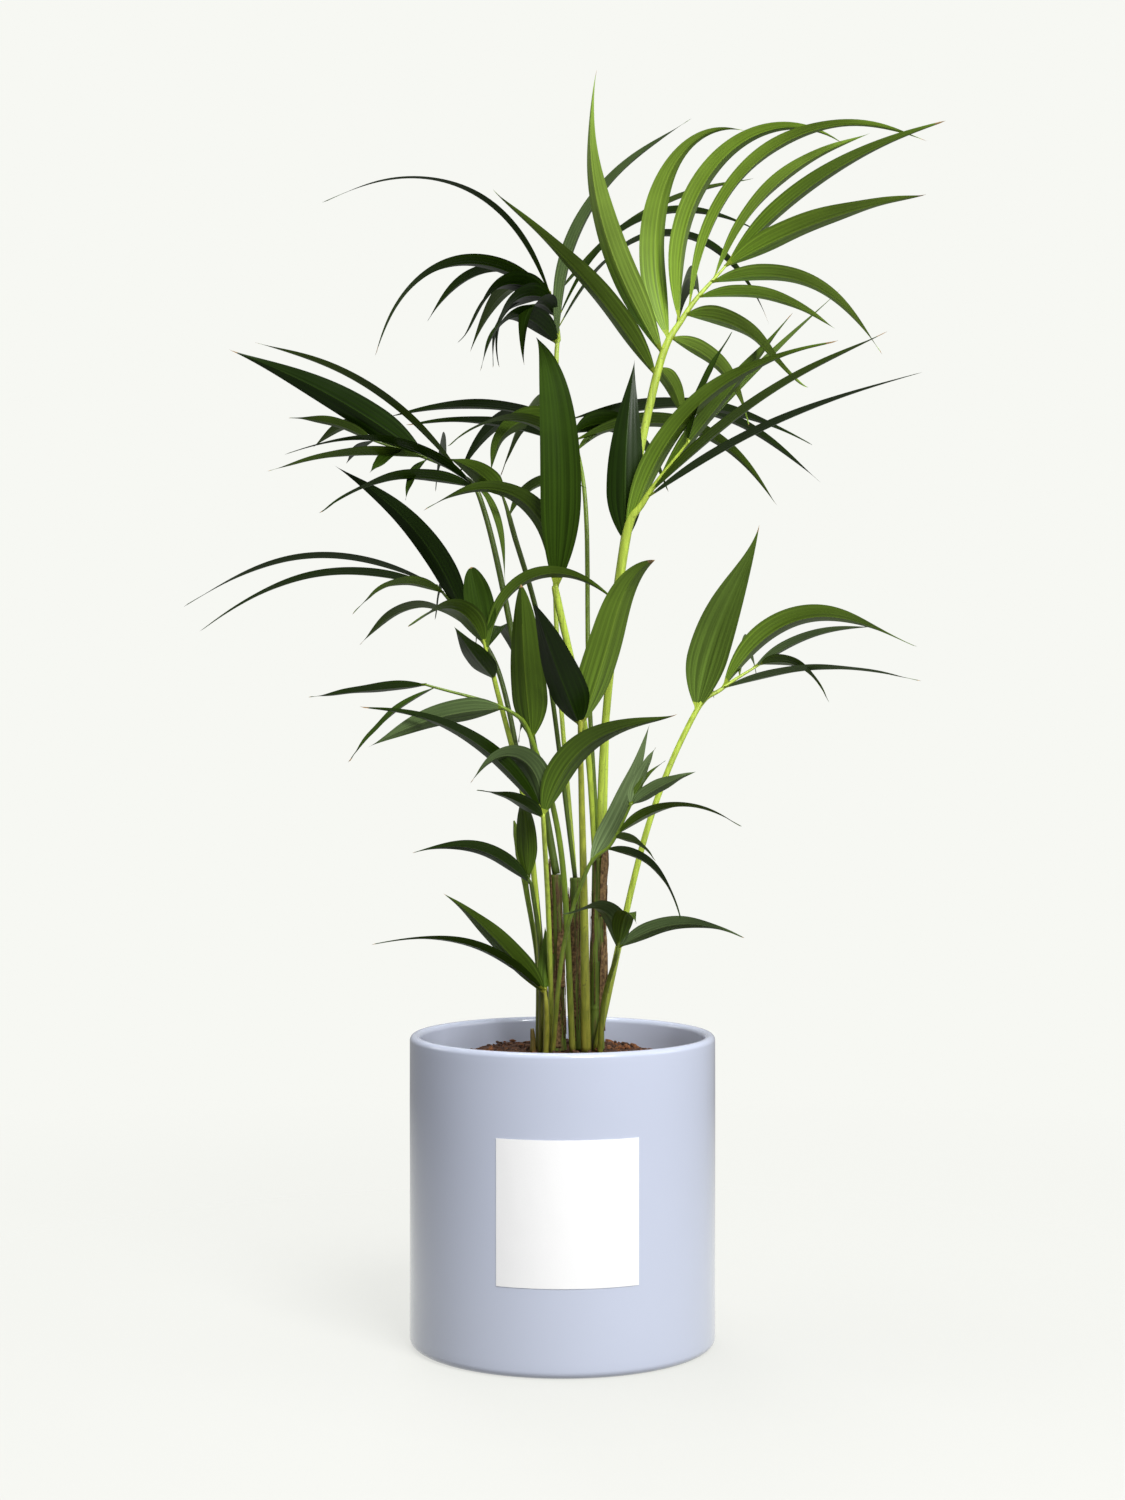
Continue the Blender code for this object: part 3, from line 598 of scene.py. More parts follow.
def leaflet_width(leaflet, share):
    """The full width here: narrow at the root, widest before the middle, a long thin tip."""
    opening = 1 - (1 - min(share / LEAF_FULL, 1)) ** 2
    narrowing = max((share - LEAF_NARROWS) / (1 - LEAF_NARROWS), 0) ** LEAF_LATE
    closing = (1 - narrowing) ** leaflet.point
    full = leaflet.width * opening * closing
    return max(full, LEAF_ROOT_WIDE * (1 - share)) * CM


def solid_points(node):
    """A search tree of the corners of a node's solid."""
    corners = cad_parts[node].data.vertices
    tree = KDTree(len(corners))
    for corner in corners:
        tree.insert(corner.co, corner.index)
    tree.balance()
    return tree


def facing_as_built(root, leaflet, corners):
    """The way the solid's leaflet faces, or None where the solid has none for want of room."""
    for nudge in NUDGES:
        facing = leaflet.facing + nudge
        tip = leaflet_line(root, leaflet, facing)[-1][0]
        if corners.find(tip)[2] < SAME_PLACE:
            return facing
    return None


def blade(line, leaflet, facing, kinds, rng):
    """One leaflet: a thin closed blade with a midrib, veins, a twisting tip and softly waved edges.

    kinds are the material places of its upper side, its underside, its midrib, its root and a dry tip.
    """
    turn = math.radians(facing)
    front = 1 if math.cos(turn) >= 0 else -1
    level = Vector((-math.sin(turn), math.cos(turn), 0)) * front
    waves = rng.uniform(*EDGE_WAVES)
    offset = rng.uniform(0, 1)
    twist = min(max(rng.gauss(0, TIP_TWIST), -2 * TIP_TWIST), 2 * TIP_TWIST)
    wave = EDGE_WAVE * rng.uniform(0.3, 1)
    columns = [-out for out in reversed(LEAF_COLUMNS)] + [0] + list(LEAF_COLUMNS)
    points, uvs = [], []
    for i in range(LEAF_FINE_STEPS):
        share = i / LEAF_FINE_STEPS
        point, ahead = line[i]
        roll = math.radians(leaflet.roll + twist * share**1.5)
        above = level.cross(ahead) * front
        across = level * math.cos(roll) + above * math.sin(roll)
        upper = above * math.cos(roll) - level * math.sin(roll)
        half = leaflet_width(leaflet, share) / 2
        for side in (1, -1):
            for out in columns:
                swing = math.sin(math.tau * (waves * share + offset + 0.25 * (out > 0)))
                rise = leaf_height(out, share, half, side) + wave * out * out * swing * share
                points.append(point + across * (half * out) + upper * rise)
                uvs.append(((out + 1) / 2, share))
    points.append(line[-1][0])
    uvs.append((0.5, 1))
    dry_from = LEAF_FINE_STEPS - rng.choice(DRY_ROWS)
    faces, face_kinds = blade_faces(len(columns), dry_from, kinds)
    if front < 0:
        faces = [face[::-1] for face in faces]
    return points, faces, face_kinds, uvs


def blade_faces(columns, dry_from, kinds):
    """A blade's faces, upper side and underside row by row, and the kind of each."""
    upper, under, midrib, root, dry = kinds
    tip = 2 * columns * LEAF_FINE_STEPS
    middle = columns // 2
    faces, face_kinds = [], []
    for i in range(LEAF_FINE_STEPS):
        for below in (0, 1):
            first = (2 * i + below) * columns
            for k in range(columns - 1):
                a, b = first + k, first + k + 1
                if i < LEAF_FINE_STEPS - 1:
                    face = (a, b, b + 2 * columns, a + 2 * columns)
                else:
                    face = (a, b, tip)
                faces.append(face[::-1] if below else face)
                kind = under if below else upper
                if not below and k in (middle - 1, middle) and i < MIDRIB_ROWS:
                    kind = midrib
                if i < COLLAR_ROWS:
                    kind = root
                face_kinds.append(dry if i >= dry_from else kind)
    return faces, face_kinds


def leaf_height(out, share, half, side):
    """How far above the leaflet's line a point of its upper (1) or under (-1) side lies."""
    fold = -2 * half * LEAF_FOLD * abs(out) ** 1.2
    slim = min(half / LEAF_SLIM, 1)
    edge = 1 - out * out
    veins = VEIN_HIGH * slim * math.cos(math.tau * VEIN_COUNT * abs(out)) * edge
    ridge = MIDRIB_HIGH * slim * math.exp(-((out * half / MIDRIB_WIDE) ** 2)) * (1 - share)
    thick = LEAF_THICK * (0.3 + 0.7 * slim) * edge
    return fold + veins + side * (thick / 2 + ridge * (1 if side > 0 else MIDRIB_BELOW))


def make_leaves(name, frond, rng):
    """A frond's leaflets as one piece, each with its own tint."""
    names, limb_tint = FROND_TINTS_AND_PAINTED_LIGHT[name]
    tints = names.split()
    used = sorted(set(tints))
    rib = rib_line(frond)
    corners = solid_points("frond_" + name)
    patch = Patch()
    # Each leaflet's tint gives its own green together with painted light and shade.
    for row, tint in zip(frond.leaflets, tints):
        leaflet = Leaflet(*row)
        root = place_on(rib, leaflet.share)
        facing = facing_as_built(root, leaflet, corners)
        if facing is None:
            continue
        place = 3 * used.index(tint)
        kinds = (place, place + 1, place + 2, 3 * len(used), 3 * len(used) + 1)
        patch.add(*blade(leaflet_line(root, leaflet, facing), leaflet, facing, kinds, rng))
    materials = [skin for tint in used for skin in LEAF_SKINS[tint]]
    obj = patch.piece("leaves_" + name, [*materials, COLLAR[limb_tint], DRY])
    dress(obj, "leaf", "frond_" + name)


def tube(points, radii, sides, shape=None):
    """A closed round limb. shape(share, turn) scales its radius at each place."""
    side = Vector((0, 1, 0))
    skin, faces = [], []
    for i, point in enumerate(points):
        ahead = (points[min(i + 1, len(points) - 1)] - points[max(i - 1, 0)]).normalized()
        side = (side - ahead * side.dot(ahead)).normalized()
        other = ahead.cross(side)
        share = i / (len(points) - 1)
        if i > 0:
            faces += band((i - 1) * sides, i * sides, sides)
        for turn in turns(sides):
            reach = radii[i] * (shape(share, turn) if shape else 1)
            skin.append(point + (side * math.cos(turn) + other * math.sin(turn)) * reach)
    faces.append(tuple(range(sides))[::-1])
    faces.append(tuple(range(len(skin) - sides, len(skin))))
    return skin, faces


def taper(first, last, count):
    """Radii from the first to the last, both in cm."""
    return [(first + (last - first) * i / (count - 1)) * CM for i in range(count)]


def limb_relief(seed):
    """Fine ridges along a stalk, with a shallow channel on one side."""
    ridge_high, ridge_count = 0.018, 9
    channel_deep, channel_wide = 0.10, 0.45
    lump_high, lumps_along = 0.03, 25

    def shape(share, turn):
        ridges = ridge_high * math.sin(ridge_count * turn + seed)
        off = ((turn - seed) % math.tau - math.pi) / channel_wide
        lumps = lump_high * noise.noise(around(1, turn, share * lumps_along + seed))
        return 1 + ridges - channel_deep * math.exp(-(off**2)) + lumps

    return shape


def make_limb(name, frond, seed):
    """A frond's stalk and rib, one smooth limb that tapers from its foot's radius to the stalk end's and on
    to the rib's end.
    """
    line = along(frond_points(frond), LIMB_STEPS)
    middle = len(line) // 2
    radii = taper(*frond.radii, middle + 1)
    radii += taper(frond.radii[1], RIB_END_RADIUS, len(line) - middle)[1:]
    tint = FROND_TINTS_AND_PAINTED_LIGHT[name][1]
    obj = object_from("limb_" + name, *tube(line, radii, LIMB_SIDES, limb_relief(seed)), [LIMB[tint]])
    dress(obj, "stalk", "stalk_" + name)


def make_spear():
    """The unopened leaf, pleated like a shut fan."""
    line = along([seen(*point) for point, _ in SPEAR], SPEAR_STEPS)
    line[0].z = LIMB_FOOT
    radii = []
    for (_, first), (_, last) in zip(SPEAR, SPEAR[1:]):
        radii += taper(first, last, SPEAR_STEPS + 1)[:-1]
    radii.append(SPEAR[-1][1] * CM)
    pleat_high, pleat_count = 0.08, 7

    def pleats(share, turn):
        return 1 + pleat_high * math.sin(pleat_count * turn + 9 * share) * min(share * 3, 1)

    obj = object_from("unopened_leaf", *tube(line, radii, SPEAR_SIDES, pleats), [LIMB["green"]])
    dress(obj, "stalk", "spear")


def make_stub():
    """The brown foot of a leaf that was cut off."""
    line = [seen(*point) for point, _ in STUB]
    line[0].z = LIMB_FOOT
    line = along(line, STUB_STEPS)
    radii = taper(STUB[0][1], STUB[-1][1], len(line))

    def torn(share, turn):
        return 1 + 0.16 * noise.noise(around(3, turn, share * 4))

    obj = object_from("cut_stub", *tube(line, radii, LIMB_SIDES, torn), [LIMB["brown"]])
    dress(obj, "stalk", "stub")


def cane_ends(cane):
    """A cane's foot, just clear of the soil, and its top."""
    foot, top = Vector(cane.foot) * CM, Vector(cane.top) * CM
    foot.z = LIMB_FOOT
    return foot, top


def make_cane(name, cane, seed):
    """A cane with leaf-scar rings and fine upright fibre."""
    foot, top = cane_ends(cane)
    line = [foot.lerp(top, i / (CANE_STEPS - 1)) for i in range(CANE_STEPS)]
    radii = taper(cane.foot_radius, cane.top_radius, CANE_STEPS)
    scar_high, scar_wide = 0.07, 0.006
    grain_high, grain_along = 0.03, 3
    flare_wide, flare_short = 0.12, 18

    def bark(share, turn):
        rings = scar_high * sum(math.exp(-(((share - scar) / scar_wide) ** 2)) for scar in LEAF_SCARS)
        upright = grain_high * noise.noise(around(4, turn, share * grain_along + seed))
        return 1 + rings + upright + flare_wide * math.exp(-share * flare_short)

    obj = object_from(name + "_bark", *tube(line, radii, CANE_SIDES, bark), [CANE])
    dress(obj, "cane", name)


def on_cane(cane, share, turn, off):
    """A point this far up a cane and round it, and this far off its skin."""
    foot, top = cane_ends(cane)
    radius = (cane.foot_radius + (cane.top_radius - cane.foot_radius) * share) * CM
    return foot.lerp(top, share) + around(radius + off, -turn)


def make_fibres(rng):
    """Thin brown fibres of old sheaths that cling to the canes and lift off at their ends."""
    patch = Patch()
    steps = [i / FIBRE_STEPS for i in range(FIBRE_STEPS + 1)]
    for cane in CANES.values():
        for _ in range(FIBRES_PER_CANE):
            low = rng.uniform(0, 0.75)
            high = min(low + rng.uniform(0.12, 0.5), 1.06)
            turn = rng.gauss(0.3, 1.1)
            points = []
            for up in steps:
                share = low + (high - low) * up
                bent = turn + 0.25 * noise.noise(Vector((share * 3, turn * 5, 0)))
                lift = 0.0022 * up**3 * (turn * 7 % 1)
                points.append(on_cane(cane, share, bent, 0.0005 + lift))
            width = rng.uniform(0.00016, 0.0004)
            radii = [width * (1 - 0.8 * up**2) for up in steps]
            patch.add(*tube(points, radii, 4))
    dress(patch.piece("sheath_fibres", [FIBRE]), "cane")


def sheet(columns, rows, place):
    """A closed thin sheet. place(layer, across, up) is a point of its inner (0) or outer (1) face."""
    steps = product((0, 1), range(columns + 1), range(rows + 1))
    points = [place(layer, i / columns, j / rows) for layer, i, j in steps]
    tall = rows + 1
    outer = (columns + 1) * tall
    faces = []
    for i, j in product(range(columns), range(rows)):
        a = i * tall + j
        b = a + tall
        faces.append((a, a + 1, b + 1, b))
        faces.append((outer + a, outer + b, outer + b + 1, outer + a + 1))
    border = [*range(tall), *range(tall + rows, outer, tall)]
    border += [*range(outer - 2, columns * tall - 1, -1), *range((columns - 1) * tall, 0, -tall)]
    for a, b in zip(border, border[1:] + border[:1]):
        faces.append((a, outer + a, outer + b, b))
    return points, faces


def husk_point(husk, seed, layer, across, up):
    name, low, end, start_turn, end_turn = husk
    ragged = 0.30 * abs(noise.noise(Vector((across * 7, seed, 0))))
    tear = 1 - ragged - 0.35 * (2 * across - 1) ** 4
    fray = 0.10 * noise.noise(Vector((up * 5, seed, 3 if across < 0.5 else 9)))
    turn = math.radians(start_turn + (end_turn - start_turn) * (across + fray * (1 - across)))
    share = low + (end - low) * up * tear
    lift = 0.0006 + 0.0012 * up**3 * (0.4 + abs(2 * across - 1))
    ridges = 0.00018 * noise.noise(Vector((across * 30, up * 2, seed)))
    return on_cane(CANES[name], share, turn, lift + layer * HUSK_THICK + ridges)


def make_husks(rng):
    """Torn brown husks of old sheaths, thin curved strips with ragged upper ends."""
    patch = Patch()
    for husk in HUSKS:
        patch.add(*sheet(HUSK_COLUMNS, HUSK_ROWS, partial(husk_point, husk, rng.uniform(0, 50))))
    dress(patch.piece("cane_husks", [HUSK]), "cane")


def arc(centre, radius, start, end, steps):
    """Points of an outline on a round stretch, from the start to the end in degrees."""
    angles = [math.radians(start + (end - start) * i / steps) for i in range(steps + 1)]
    return [(centre[0] + radius * math.cos(a), centre[1] + radius * math.sin(a)) for a in angles]


def straight(first, last, steps):
    """Evenly spaced points between two corners of an outline, without the corners."""
    shares = [i / steps for i in range(1, steps)]
    return [(first[0] + (last[0] - first[0]) * s, first[1] + (last[1] - first[1]) * s) for s in shares]


def turned(outline, sides):
    """Points and faces of an outline turned round the upright axis; its two ends lie on the axis."""
    points = [Vector((0, 0, outline[0][1]))]
    for radius, height in outline[1:-1]:
        points += [around(radius, turn, height) for turn in turns(sides)]
    points.append(Vector((0, 0, outline[-1][1])))
    rings = range(1, len(points) - 1, sides)
    faces = [face[::-1] for face in fan(0, rings[0], sides)]
    for low, high in zip(rings, rings[1:]):
        faces += band(low, high, sides)
    return points, faces + fan(len(points) - 1, rings[-1], sides)


def pot_outline():
    """The pot from the middle of its underside, up its outside, over the rim and down its inside."""
    wall_in = POT_RADIUS - POT_WALL
    rim = POT_HEIGHT - POT_RIM_ROUND
    foot = arc((POT_RADIUS - POT_FOOT_ROUND, POT_FOOT_ROUND), POT_FOOT_ROUND, -90, 0, 8)
    rim_out = arc((POT_RADIUS - POT_RIM_ROUND, rim), POT_RIM_ROUND, 0, 90, 10)
    rim_in = arc((wall_in + POT_RIM_ROUND, rim), POT_RIM_ROUND, 90, 180, 10)
    outside = [(0, 0), (POT_BASE_RING, 0), *foot, *straight(foot[-1], rim_out[0], 40), *rim_out]
    corner = (wall_in, POT_FLOOR)
    return [*outside, *rim_in, *straight(rim_in[-1], corner, 20), corner, (0, POT_FLOOR)]


def make_pot():
    """The glazed pot: its walls have the faintest ripple, and its underside is flat."""
    points, faces = turned(pot_outline(), POT_SIDES)
    clear_of_foot, clear_of_rim, clear_of_middle = 0.004, 0.001, 0.05
    for point in points:
        out = Vector((point.x, point.y, 0))
        if clear_of_foot < point.z < POT_HEIGHT - clear_of_rim and out.length > clear_of_middle:
            place = Vector((point.x, point.y, point.z * 0.5)) * 28
            point += out.normalized() * POT_RIPPLE * noise.noise(place)
    dress(object_from("glazed_pot", points, faces, [GLAZE]), "pot_glaze", "pot")


def label_point(layer, across, up):
    turn = LABEL_TURN + LABEL_WIDTH / POT_RADIUS * (across - 0.5) - math.pi / 2
    curl = LABEL_CURL * noise.noise(Vector((across * 12, up * 7.2, 1)))
    reach = POT_RADIUS + LABEL_OFF + layer * (LABEL_THICKNESS + curl)
    return around(reach, turn, LABEL_MIDDLE + LABEL_HEIGHT * (up - 0.5))


def make_label():
    """The blank square label: a thin paper bent round the pot's front."""
    label = object_from("blank_label", *sheet(LABEL_COLUMNS, LABEL_ROWS, label_point), [PAPER])
    label.data.set_sharp_from_angle(angle=math.radians(30))
    dress(label, "label_paper", "label")


def soil_height(place):
    """The mound's height here, rough with crumbs, which die down towards the pot."""
    radius = math.hypot(place.x, place.y)
    slope = min(max((radius - SOIL_FLAT) / (SOIL_REACH - SOIL_FLAT), 0), 1)
    height = SOIL_TOP + (SOIL_EDGE - SOIL_TOP) * (0.55 * slope + 0.45 * slope * slope)
    level = Vector((place.x, place.y, 0))
    lumps = 0.0022 * noise.noise(level * 90) + 0.0014 * noise.noise(level * 260)
    return height + lumps * min(1, (SOIL_REACH - radius) / 0.004 + 0.2)


def make_soil():
    """The mound of soil, down to well below what shows."""
    outline = [(0, SOIL_BOTTOM), (SOIL_REACH, SOIL_BOTTOM)]
    outline += [(SOIL_REACH * r / SOIL_RINGS, SOIL_TOP) for r in range(SOIL_RINGS, -1, -1)]
    points, faces = turned(outline, SOIL_SIDES)
    for point in points[1 + SOIL_SIDES :]:
        point.z = soil_height(point)
    dress(object_from("potting_soil", points, faces, [SOIL]), "soil", "soil")


def crumb_shape():
    """A lump with eight corners and six bulging sides: its points and triangles."""
    points = [Vector(corner) * 0.62 for corner in product((-1, 1), repeat=3)]
    faces = []
    for axis, sign in product(range(3), (1, -1)):
        peak = Vector((0, 0, 0))
        peak[axis] = sign
        ring = [i for i in range(8) if points[i][axis] * sign > 0]
        a, b = [n for n in range(3) if n != axis]
        ring.sort(key=lambda i: math.atan2(points[i][b], points[i][a]))
        for i, j in zip(ring, ring[1:] + ring[:1]):
            outward = (points[i] - peak).cross(points[j] - peak).dot(peak) > 0
            faces.append((len(points), i, j) if outward else (len(points), j, i))
        points.append(peak)
    return points, faces


def spun(a, b, angle):
    """Two coordinates turned in their plane."""
    return a * math.cos(angle) - b * math.sin(angle), a * math.sin(angle) + b * math.cos(angle)


def make_crumbs(rng):
    """Crumbs of peat and chips of bark strewn over the soil."""
    corners, faces = crumb_shape()
    patch = Patch()
    for _ in range(CRUMB_COUNT):
        radius = SOIL_REACH * math.sqrt(rng.random()) * 0.985
        middle = around(radius, rng.uniform(0, math.tau))
        size = rng.choice(CRUMB_SIZES) * rng.uniform(0.7, 1.2)
        stretch = Vector((rng.uniform(0.6, 1.9), rng.uniform(0.6, 1.1), rng.uniform(0.45, 0.9)))
        size = min(size, (SOIL_REACH - radius) / 2.2 + 0.0004)
        middle.z = soil_height(middle) + size * 0.25
        spin = rng.uniform(0, math.tau)
        tilt = rng.uniform(-0.7, 0.7)
        points = []
        for corner in corners:
            x, y, z = corner * (1 + rng.uniform(-0.25, 0.25)) * stretch
            x, z = spun(x, z, tilt)
            x, y = spun(x, y, spin)
            points.append(middle + Vector((x, y, z)) * size)
        patch.add(points, faces, [rng.choice((0, 0, 1, 2))] * len(faces))
    dress(patch.piece("soil_crumbs", CRUMBS), "soil")


def fill(tree, node, inputs):
    """Sets a node's inputs: a socket is linked, anything else is the value itself."""
    for key, value in inputs.items():
        if isinstance(value, bpy.types.NodeSocket):
            tree.links.new(value, node.inputs[key])
        elif node.inputs[key].type == "RGBA":
            node.inputs[key].default_value = (*value, 1)
        else:
            node.inputs[key].default_value = value


def add(tree, kind, inputs, **settings):
    node = tree.nodes.new(kind)
    for key, value in settings.items():
        setattr(node, key, value)
    fill(tree, node, inputs)
    return node


def new_material(name, colour, roughness):
    made = bpy.data.materials.new(name)
    made.use_nodes = True
    shader = made.node_tree.nodes["Principled BSDF"]
    fill(made.node_tree, shader, {"Base Color": colour, "Roughness": roughness})
    return made, made.node_tree, shader


def place_of(tree, kind):
    """Where a point is, on the object (Object) or on its leaflet (UV)."""
    return add(tree, "ShaderNodeTexCoord", {}).outputs[kind]


def part_of(tree, kind, axis):
    """One part of where a point is, such as its height."""
    return add(tree, "ShaderNodeSeparateXYZ", {0: place_of(tree, kind)}).outputs[axis]


def noise_of(tree, scale, detail, stretch=(1, 1, 1), kind="Object"):
    """A noise pattern with its own stretch."""
    place = add(tree, "ShaderNodeMapping", {"Vector": place_of(tree, kind), "Scale": stretch})
    inputs = {"Vector": place.outputs[0], "Scale": scale, "Detail": detail}
    return add(tree, "ShaderNodeTexNoise", inputs).outputs["Fac"]


def mixed(tree, factor, first, second):
    """A colour between two, each a colour or a socket, by a factor from 0 to 1."""
    return add(tree, "ShaderNodeMix", {0: factor, 6: first, 7: second}, data_type="RGBA").outputs[2]


def ranged(tree, value, low, high, start=0.0, end=1.0):
    """A value rescaled from start..end to low..high."""
    inputs = {"Value": value, "From Min": start, "From Max": end, "To Min": low, "To Max": high}
    return add(tree, "ShaderNodeMapRange", inputs).outputs["Result"]


def shade(colour, amount):
    return tuple(channel * amount for channel in colour)


def skin(tree, shader, tone, height, strength, distance):
    """Gives a surface its colours and its fine relief."""
    bump = add(tree, "ShaderNodeBump", {"Height": height, "Strength": strength, "Distance": distance})
    fill(tree, shader, {"Base Color": tone, "Normal": bump.outputs[0]})


def leaf_material(name, colour, roughness, gloss):
    """Leaf skin: fine parallel veins, soft mottling, a root painted paler as if light shone through it, and a
    waxy gloss.
    """
    made, tree, shader = new_material(name, colour, roughness)
    shader.inputs["Specular IOR Level"].default_value = gloss
    veins = noise_of(tree, 1, 2, (15, 0.8, 1), "UV")
    mottle = noise_of(tree, 30, 2)
    # Painted light: towards its root the blade is painted up to 2.3 times paler along its veins, standing for
    # light that shines through it.
    root_glow_mask = ranged(tree, part_of(tree, "UV", "Y"), 1, 0, 0.02, 0.45)
    streaked = mixed(tree, ranged(tree, veins, 0, 1, 0.30, 0.70), shade(colour, 0.66), shade(colour, 1.30))
    root = mixed(tree, root_glow_mask, streaked, shade(colour, 2.3))
    root_glow_tone = mixed(tree, ranged(tree, veins, 0.1, 1, 0.45, 0.62), streaked, root)
    tone = mixed(tree, ranged(tree, mottle, 0, 0.35, 0.42, 0.75), root_glow_tone, shade(colour, 1.5))
    tree.links.new(ranged(tree, mottle, roughness - 0.06, roughness + 0.08), shader.inputs["Roughness"])
    skin(tree, shader, tone, veins, 0.12, 0.0003)
    return made


def limb_material(name, colour):
    """Stalk skin: streaks along it, browner towards the soil, with a few dark specks."""
    made, tree, shader = new_material(name, colour, 0.42)
    streaks = noise_of(tree, 1, 3, (420, 420, 14))
    specks = noise_of(tree, 480, 2)
    foot = ranged(tree, part_of(tree, "Object", "Z"), 1, 0, SOIL_TOP, SOIL_TOP + 0.11)
    body = mixed(tree, ranged(tree, streaks, 0, 1, 0.35, 0.65), shade(colour, 0.78), shade(colour, 1.18))
    brown = mixed(tree, ranged(tree, streaks, 0, 1, 0.4, 0.6), (0.11, 0.10, 0.012), (0.20, 0.15, 0.03))
    tone = mixed(tree, ranged(tree, foot, 0, 0.7), body, brown)
    spotted = mixed(tree, ranged(tree, specks, 0, 0.5, 0.66, 0.72), tone, (0.05, 0.045, 0.015))
    tree.links.new(ranged(tree, streaks, 0.34, 0.52), shader.inputs["Roughness"])
    skin(tree, shader, spotted, streaks, 0.25, 0.0004)
    return made


def cane_material():
    """Cane skin: patches of streaky green and of brown bark."""
    made, tree, shader = new_material("cane bark", (0.10, 0.12, 0.02), 0.6)
    streaks = noise_of(tree, 1, 5, (500, 500, 22))
    patches = noise_of(tree, 1, 4, (110, 110, 16))
    grain = ranged(tree, streaks, 0, 1, 0.35, 0.65)
    green = mixed(tree, grain, (0.050, 0.085, 0.008), (0.16, 0.23, 0.022))
    bark = mixed(tree, grain, (0.030, 0.016, 0.006), (0.15, 0.085, 0.035))
    tone = mixed(tree, ranged(tree, patches, 0, 1, 0.53, 0.60), green, bark)
    tree.links.new(ranged(tree, patches, 0.42, 0.85, 0.4, 0.6), shader.inputs["Roughness"])
    skin(tree, shader, tone, streaks, 0.6, 0.0008)
    return made


def rough_material(name, dark, light, scale, bump):
    """Soil, crumbs, fibre and dry tips: two tones of noise with a rough skin."""
    made, tree, shader = new_material(name, dark, 0.92)
    grain = noise_of(tree, scale, 6)
    tone = mixed(tree, ranged(tree, grain, 0, 1, 0.35, 0.68), dark, light)
    skin(tree, shader, tone, grain, 0.8, bump)
    return made


def glaze_material():
    """Pale lilac-blue glaze: an even coat with a faint cloudiness and tiny ripples."""
    colour = (0.54, 0.585, 0.715)
    made, tree, shader = new_material("lilac glaze", colour, 0.2)
    fill(tree, shader, {"Coat Weight": 0.6, "Coat Roughness": 0.06})
    cloud = noise_of(tree, 9, 3)
    tone = mixed(tree, cloud, shade(colour, 0.97), shade(colour, 1.03))
    tree.links.new(ranged(tree, cloud, 0.16, 0.26), shader.inputs["Roughness"])
    skin(tree, shader, tone, noise_of(tree, 70, 2), 0.02, 0.001)
    return made


def paper_material():
    """Plain white paper with a faint fibre."""
    made, tree, shader = new_material("white paper", (0.95, 0.95, 0.95), 0.55)
    fibre = noise_of(tree, 900, 4)
    tone = mixed(tree, fibre, (0.93, 0.93, 0.93), (0.97, 0.97, 0.97))
    skin(tree, shader, tone, fibre, 0.15, 0.0002)
    return made


def make_camera():
    """The photograph's viewpoint, level and straight ahead."""
    data = bpy.data.cameras.new("camera")
    data.lens = LENS
    data.shift_y = VIEW_SHIFT
    camera = bpy.data.objects.new("camera", data)
    camera.location = (0, -EYE_AWAY * CM, EYE_UP * CM)
    camera.rotation_euler = (math.radians(90), 0, 0)
    bpy.context.scene.collection.objects.link(camera)
    bpy.context.scene.camera = camera


def make_lamps():
    for name, (place, aim, size, power) in LAMPS.items():
        data = bpy.data.lights.new(name, "AREA")
        data.shape = "SQUARE"
        data.size = size
        data.energy = power
        lamp = bpy.data.objects.new(name, data)
        lamp.location = place
        lamp.rotation_euler = (Vector(aim) - Vector(place)).to_track_quat("-Z", "Y").to_euler()
        lamp.visible_glossy = name != NO_GLARE
        bpy.context.scene.collection.objects.link(lamp)


def make_world():
    """Pale surroundings: brighter on the right, where the studio's window side is."""
    world = bpy.data.worlds.new("studio")
    bpy.context.scene.world = world
    world.use_nodes = True
    tree = world.node_tree
    tree.nodes.clear()
    side = ranged(tree, part_of(tree, "Generated", "X"), 0.32, 0.50, -0.9, 0.9)
    glow = add(tree, "ShaderNodeBackground", {"Strength": side})
    plain = add(tree, "ShaderNodeBackground", {"Color": BACKDROP})
    seen = add(tree, "ShaderNodeLightPath", {}).outputs["Is Camera Ray"]
    mix = add(tree, "ShaderNodeMixShader", {0: seen, 1: glow.outputs[0], 2: plain.outputs[0]})
    add(tree, "ShaderNodeOutputWorld", {"Surface": mix.outputs[0]})


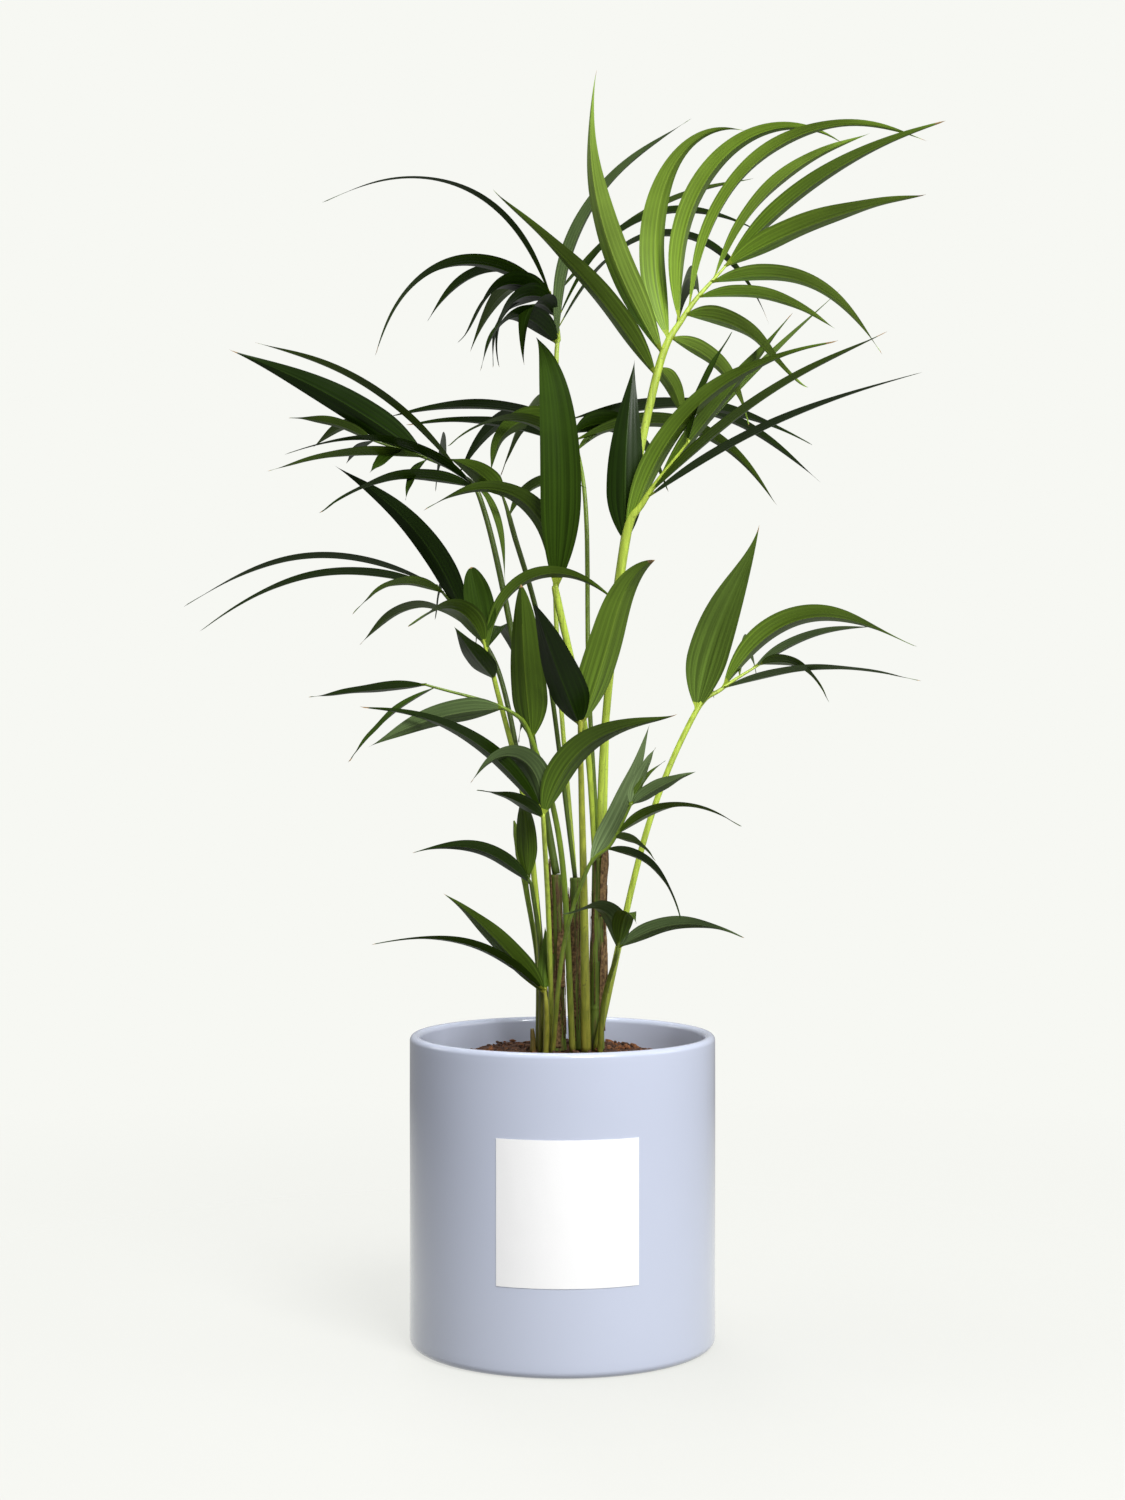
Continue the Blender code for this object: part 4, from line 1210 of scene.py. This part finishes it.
def make_floor():
    """A pale floor that takes the pot's soft shadow and fades into the backdrop."""
    points = [Vector((0, 0, 0))] + [around(FLOOR_REACH, turn) for turn in turns(FLOOR_SIDES)]
    made, tree, shader = new_material("pale floor", (0.16, 0.161, 0.154), 0.9)
    distance = add(tree, "ShaderNodeVectorMath", {0: place_of(tree, "Object")}, operation="LENGTH")
    alpha = ranged(tree, distance.outputs["Value"], 1, 0, FLOOR_FADES, FLOOR_REACH * 0.97)
    glow = {"Emission Color": BACKDROP, "Emission Strength": 0.69}
    fill(tree, shader, {"Specular IOR Level": 0.1, "Alpha": alpha, **glow})
    floor = object_from("floor", points, fan(0, 1, FLOOR_SIDES), [made])
    floor.location.z = -FLOOR_DROP
    floor.visible_diffuse = False


def main():
    rng = random.Random(SEED)
    make_camera()
    make_world()
    make_floor()
    make_lamps()
    make_pot()
    make_label()
    make_soil()
    make_crumbs(rng)
    for seed, (name, cane) in enumerate(CANES.items()):
        make_cane(name, cane, seed * 3.7)
    make_fibres(rng)
    make_husks(rng)
    make_spear()
    make_stub()
    for seed, (name, frond) in enumerate(FRONDS.items()):
        make_limb(name, frond, seed * 1.3)
        make_leaves(name, frond, rng)
    bpy.context.scene.view_settings.view_transform = "Standard"
    bpy.context.view_layer.update()


def leaf_skins(tint, colours):
    """A tint's skins for the upper side, the underside and the midrib."""
    sides = zip(LEAF_SIDES, colours)
    return [leaf_material(f"{side} {tint}", colour, rough, gloss) for (side, rough, gloss), colour in sides]


LEAF_SKINS = {tint: leaf_skins(tint, colours) for tint, colours in LEAF_TINTS_AND_PAINTED_LIGHT.items()}
COLLAR = {
    name: leaf_material("root " + name, shade(tint, 0.5), 0.4, 0.1)
    for name, tint in LIMB_TINTS.items()
}
LIMB = {name: limb_material("stalk " + name, tint) for name, tint in LIMB_TINTS.items()}
DRY = rough_material("dry tip", (0.16, 0.09, 0.03), (0.34, 0.22, 0.09), 900, 0.0002)
CANE = cane_material()
FIBRE = rough_material("sheath fibre", (0.09, 0.045, 0.018), (0.26, 0.15, 0.07), 600, 0.0003)
HUSK = rough_material("torn husk", (0.060, 0.030, 0.010), (0.27, 0.165, 0.065), 420, 0.0004)
SOIL = rough_material("potting soil", (0.016, 0.006, 0.002), (0.095, 0.034, 0.011), 260, 0.0016)
CRUMBS = [
    rough_material("dark crumb", (0.022, 0.010, 0.005), (0.08, 0.032, 0.012), 700, 0.0005),
    rough_material("red crumb", (0.09, 0.032, 0.010), (0.23, 0.085, 0.025), 700, 0.0005),
    rough_material("brown crumb", (0.05, 0.022, 0.009), (0.15, 0.065, 0.026), 700, 0.0005),
]
GLAZE = glaze_material()
PAPER = paper_material()

main()
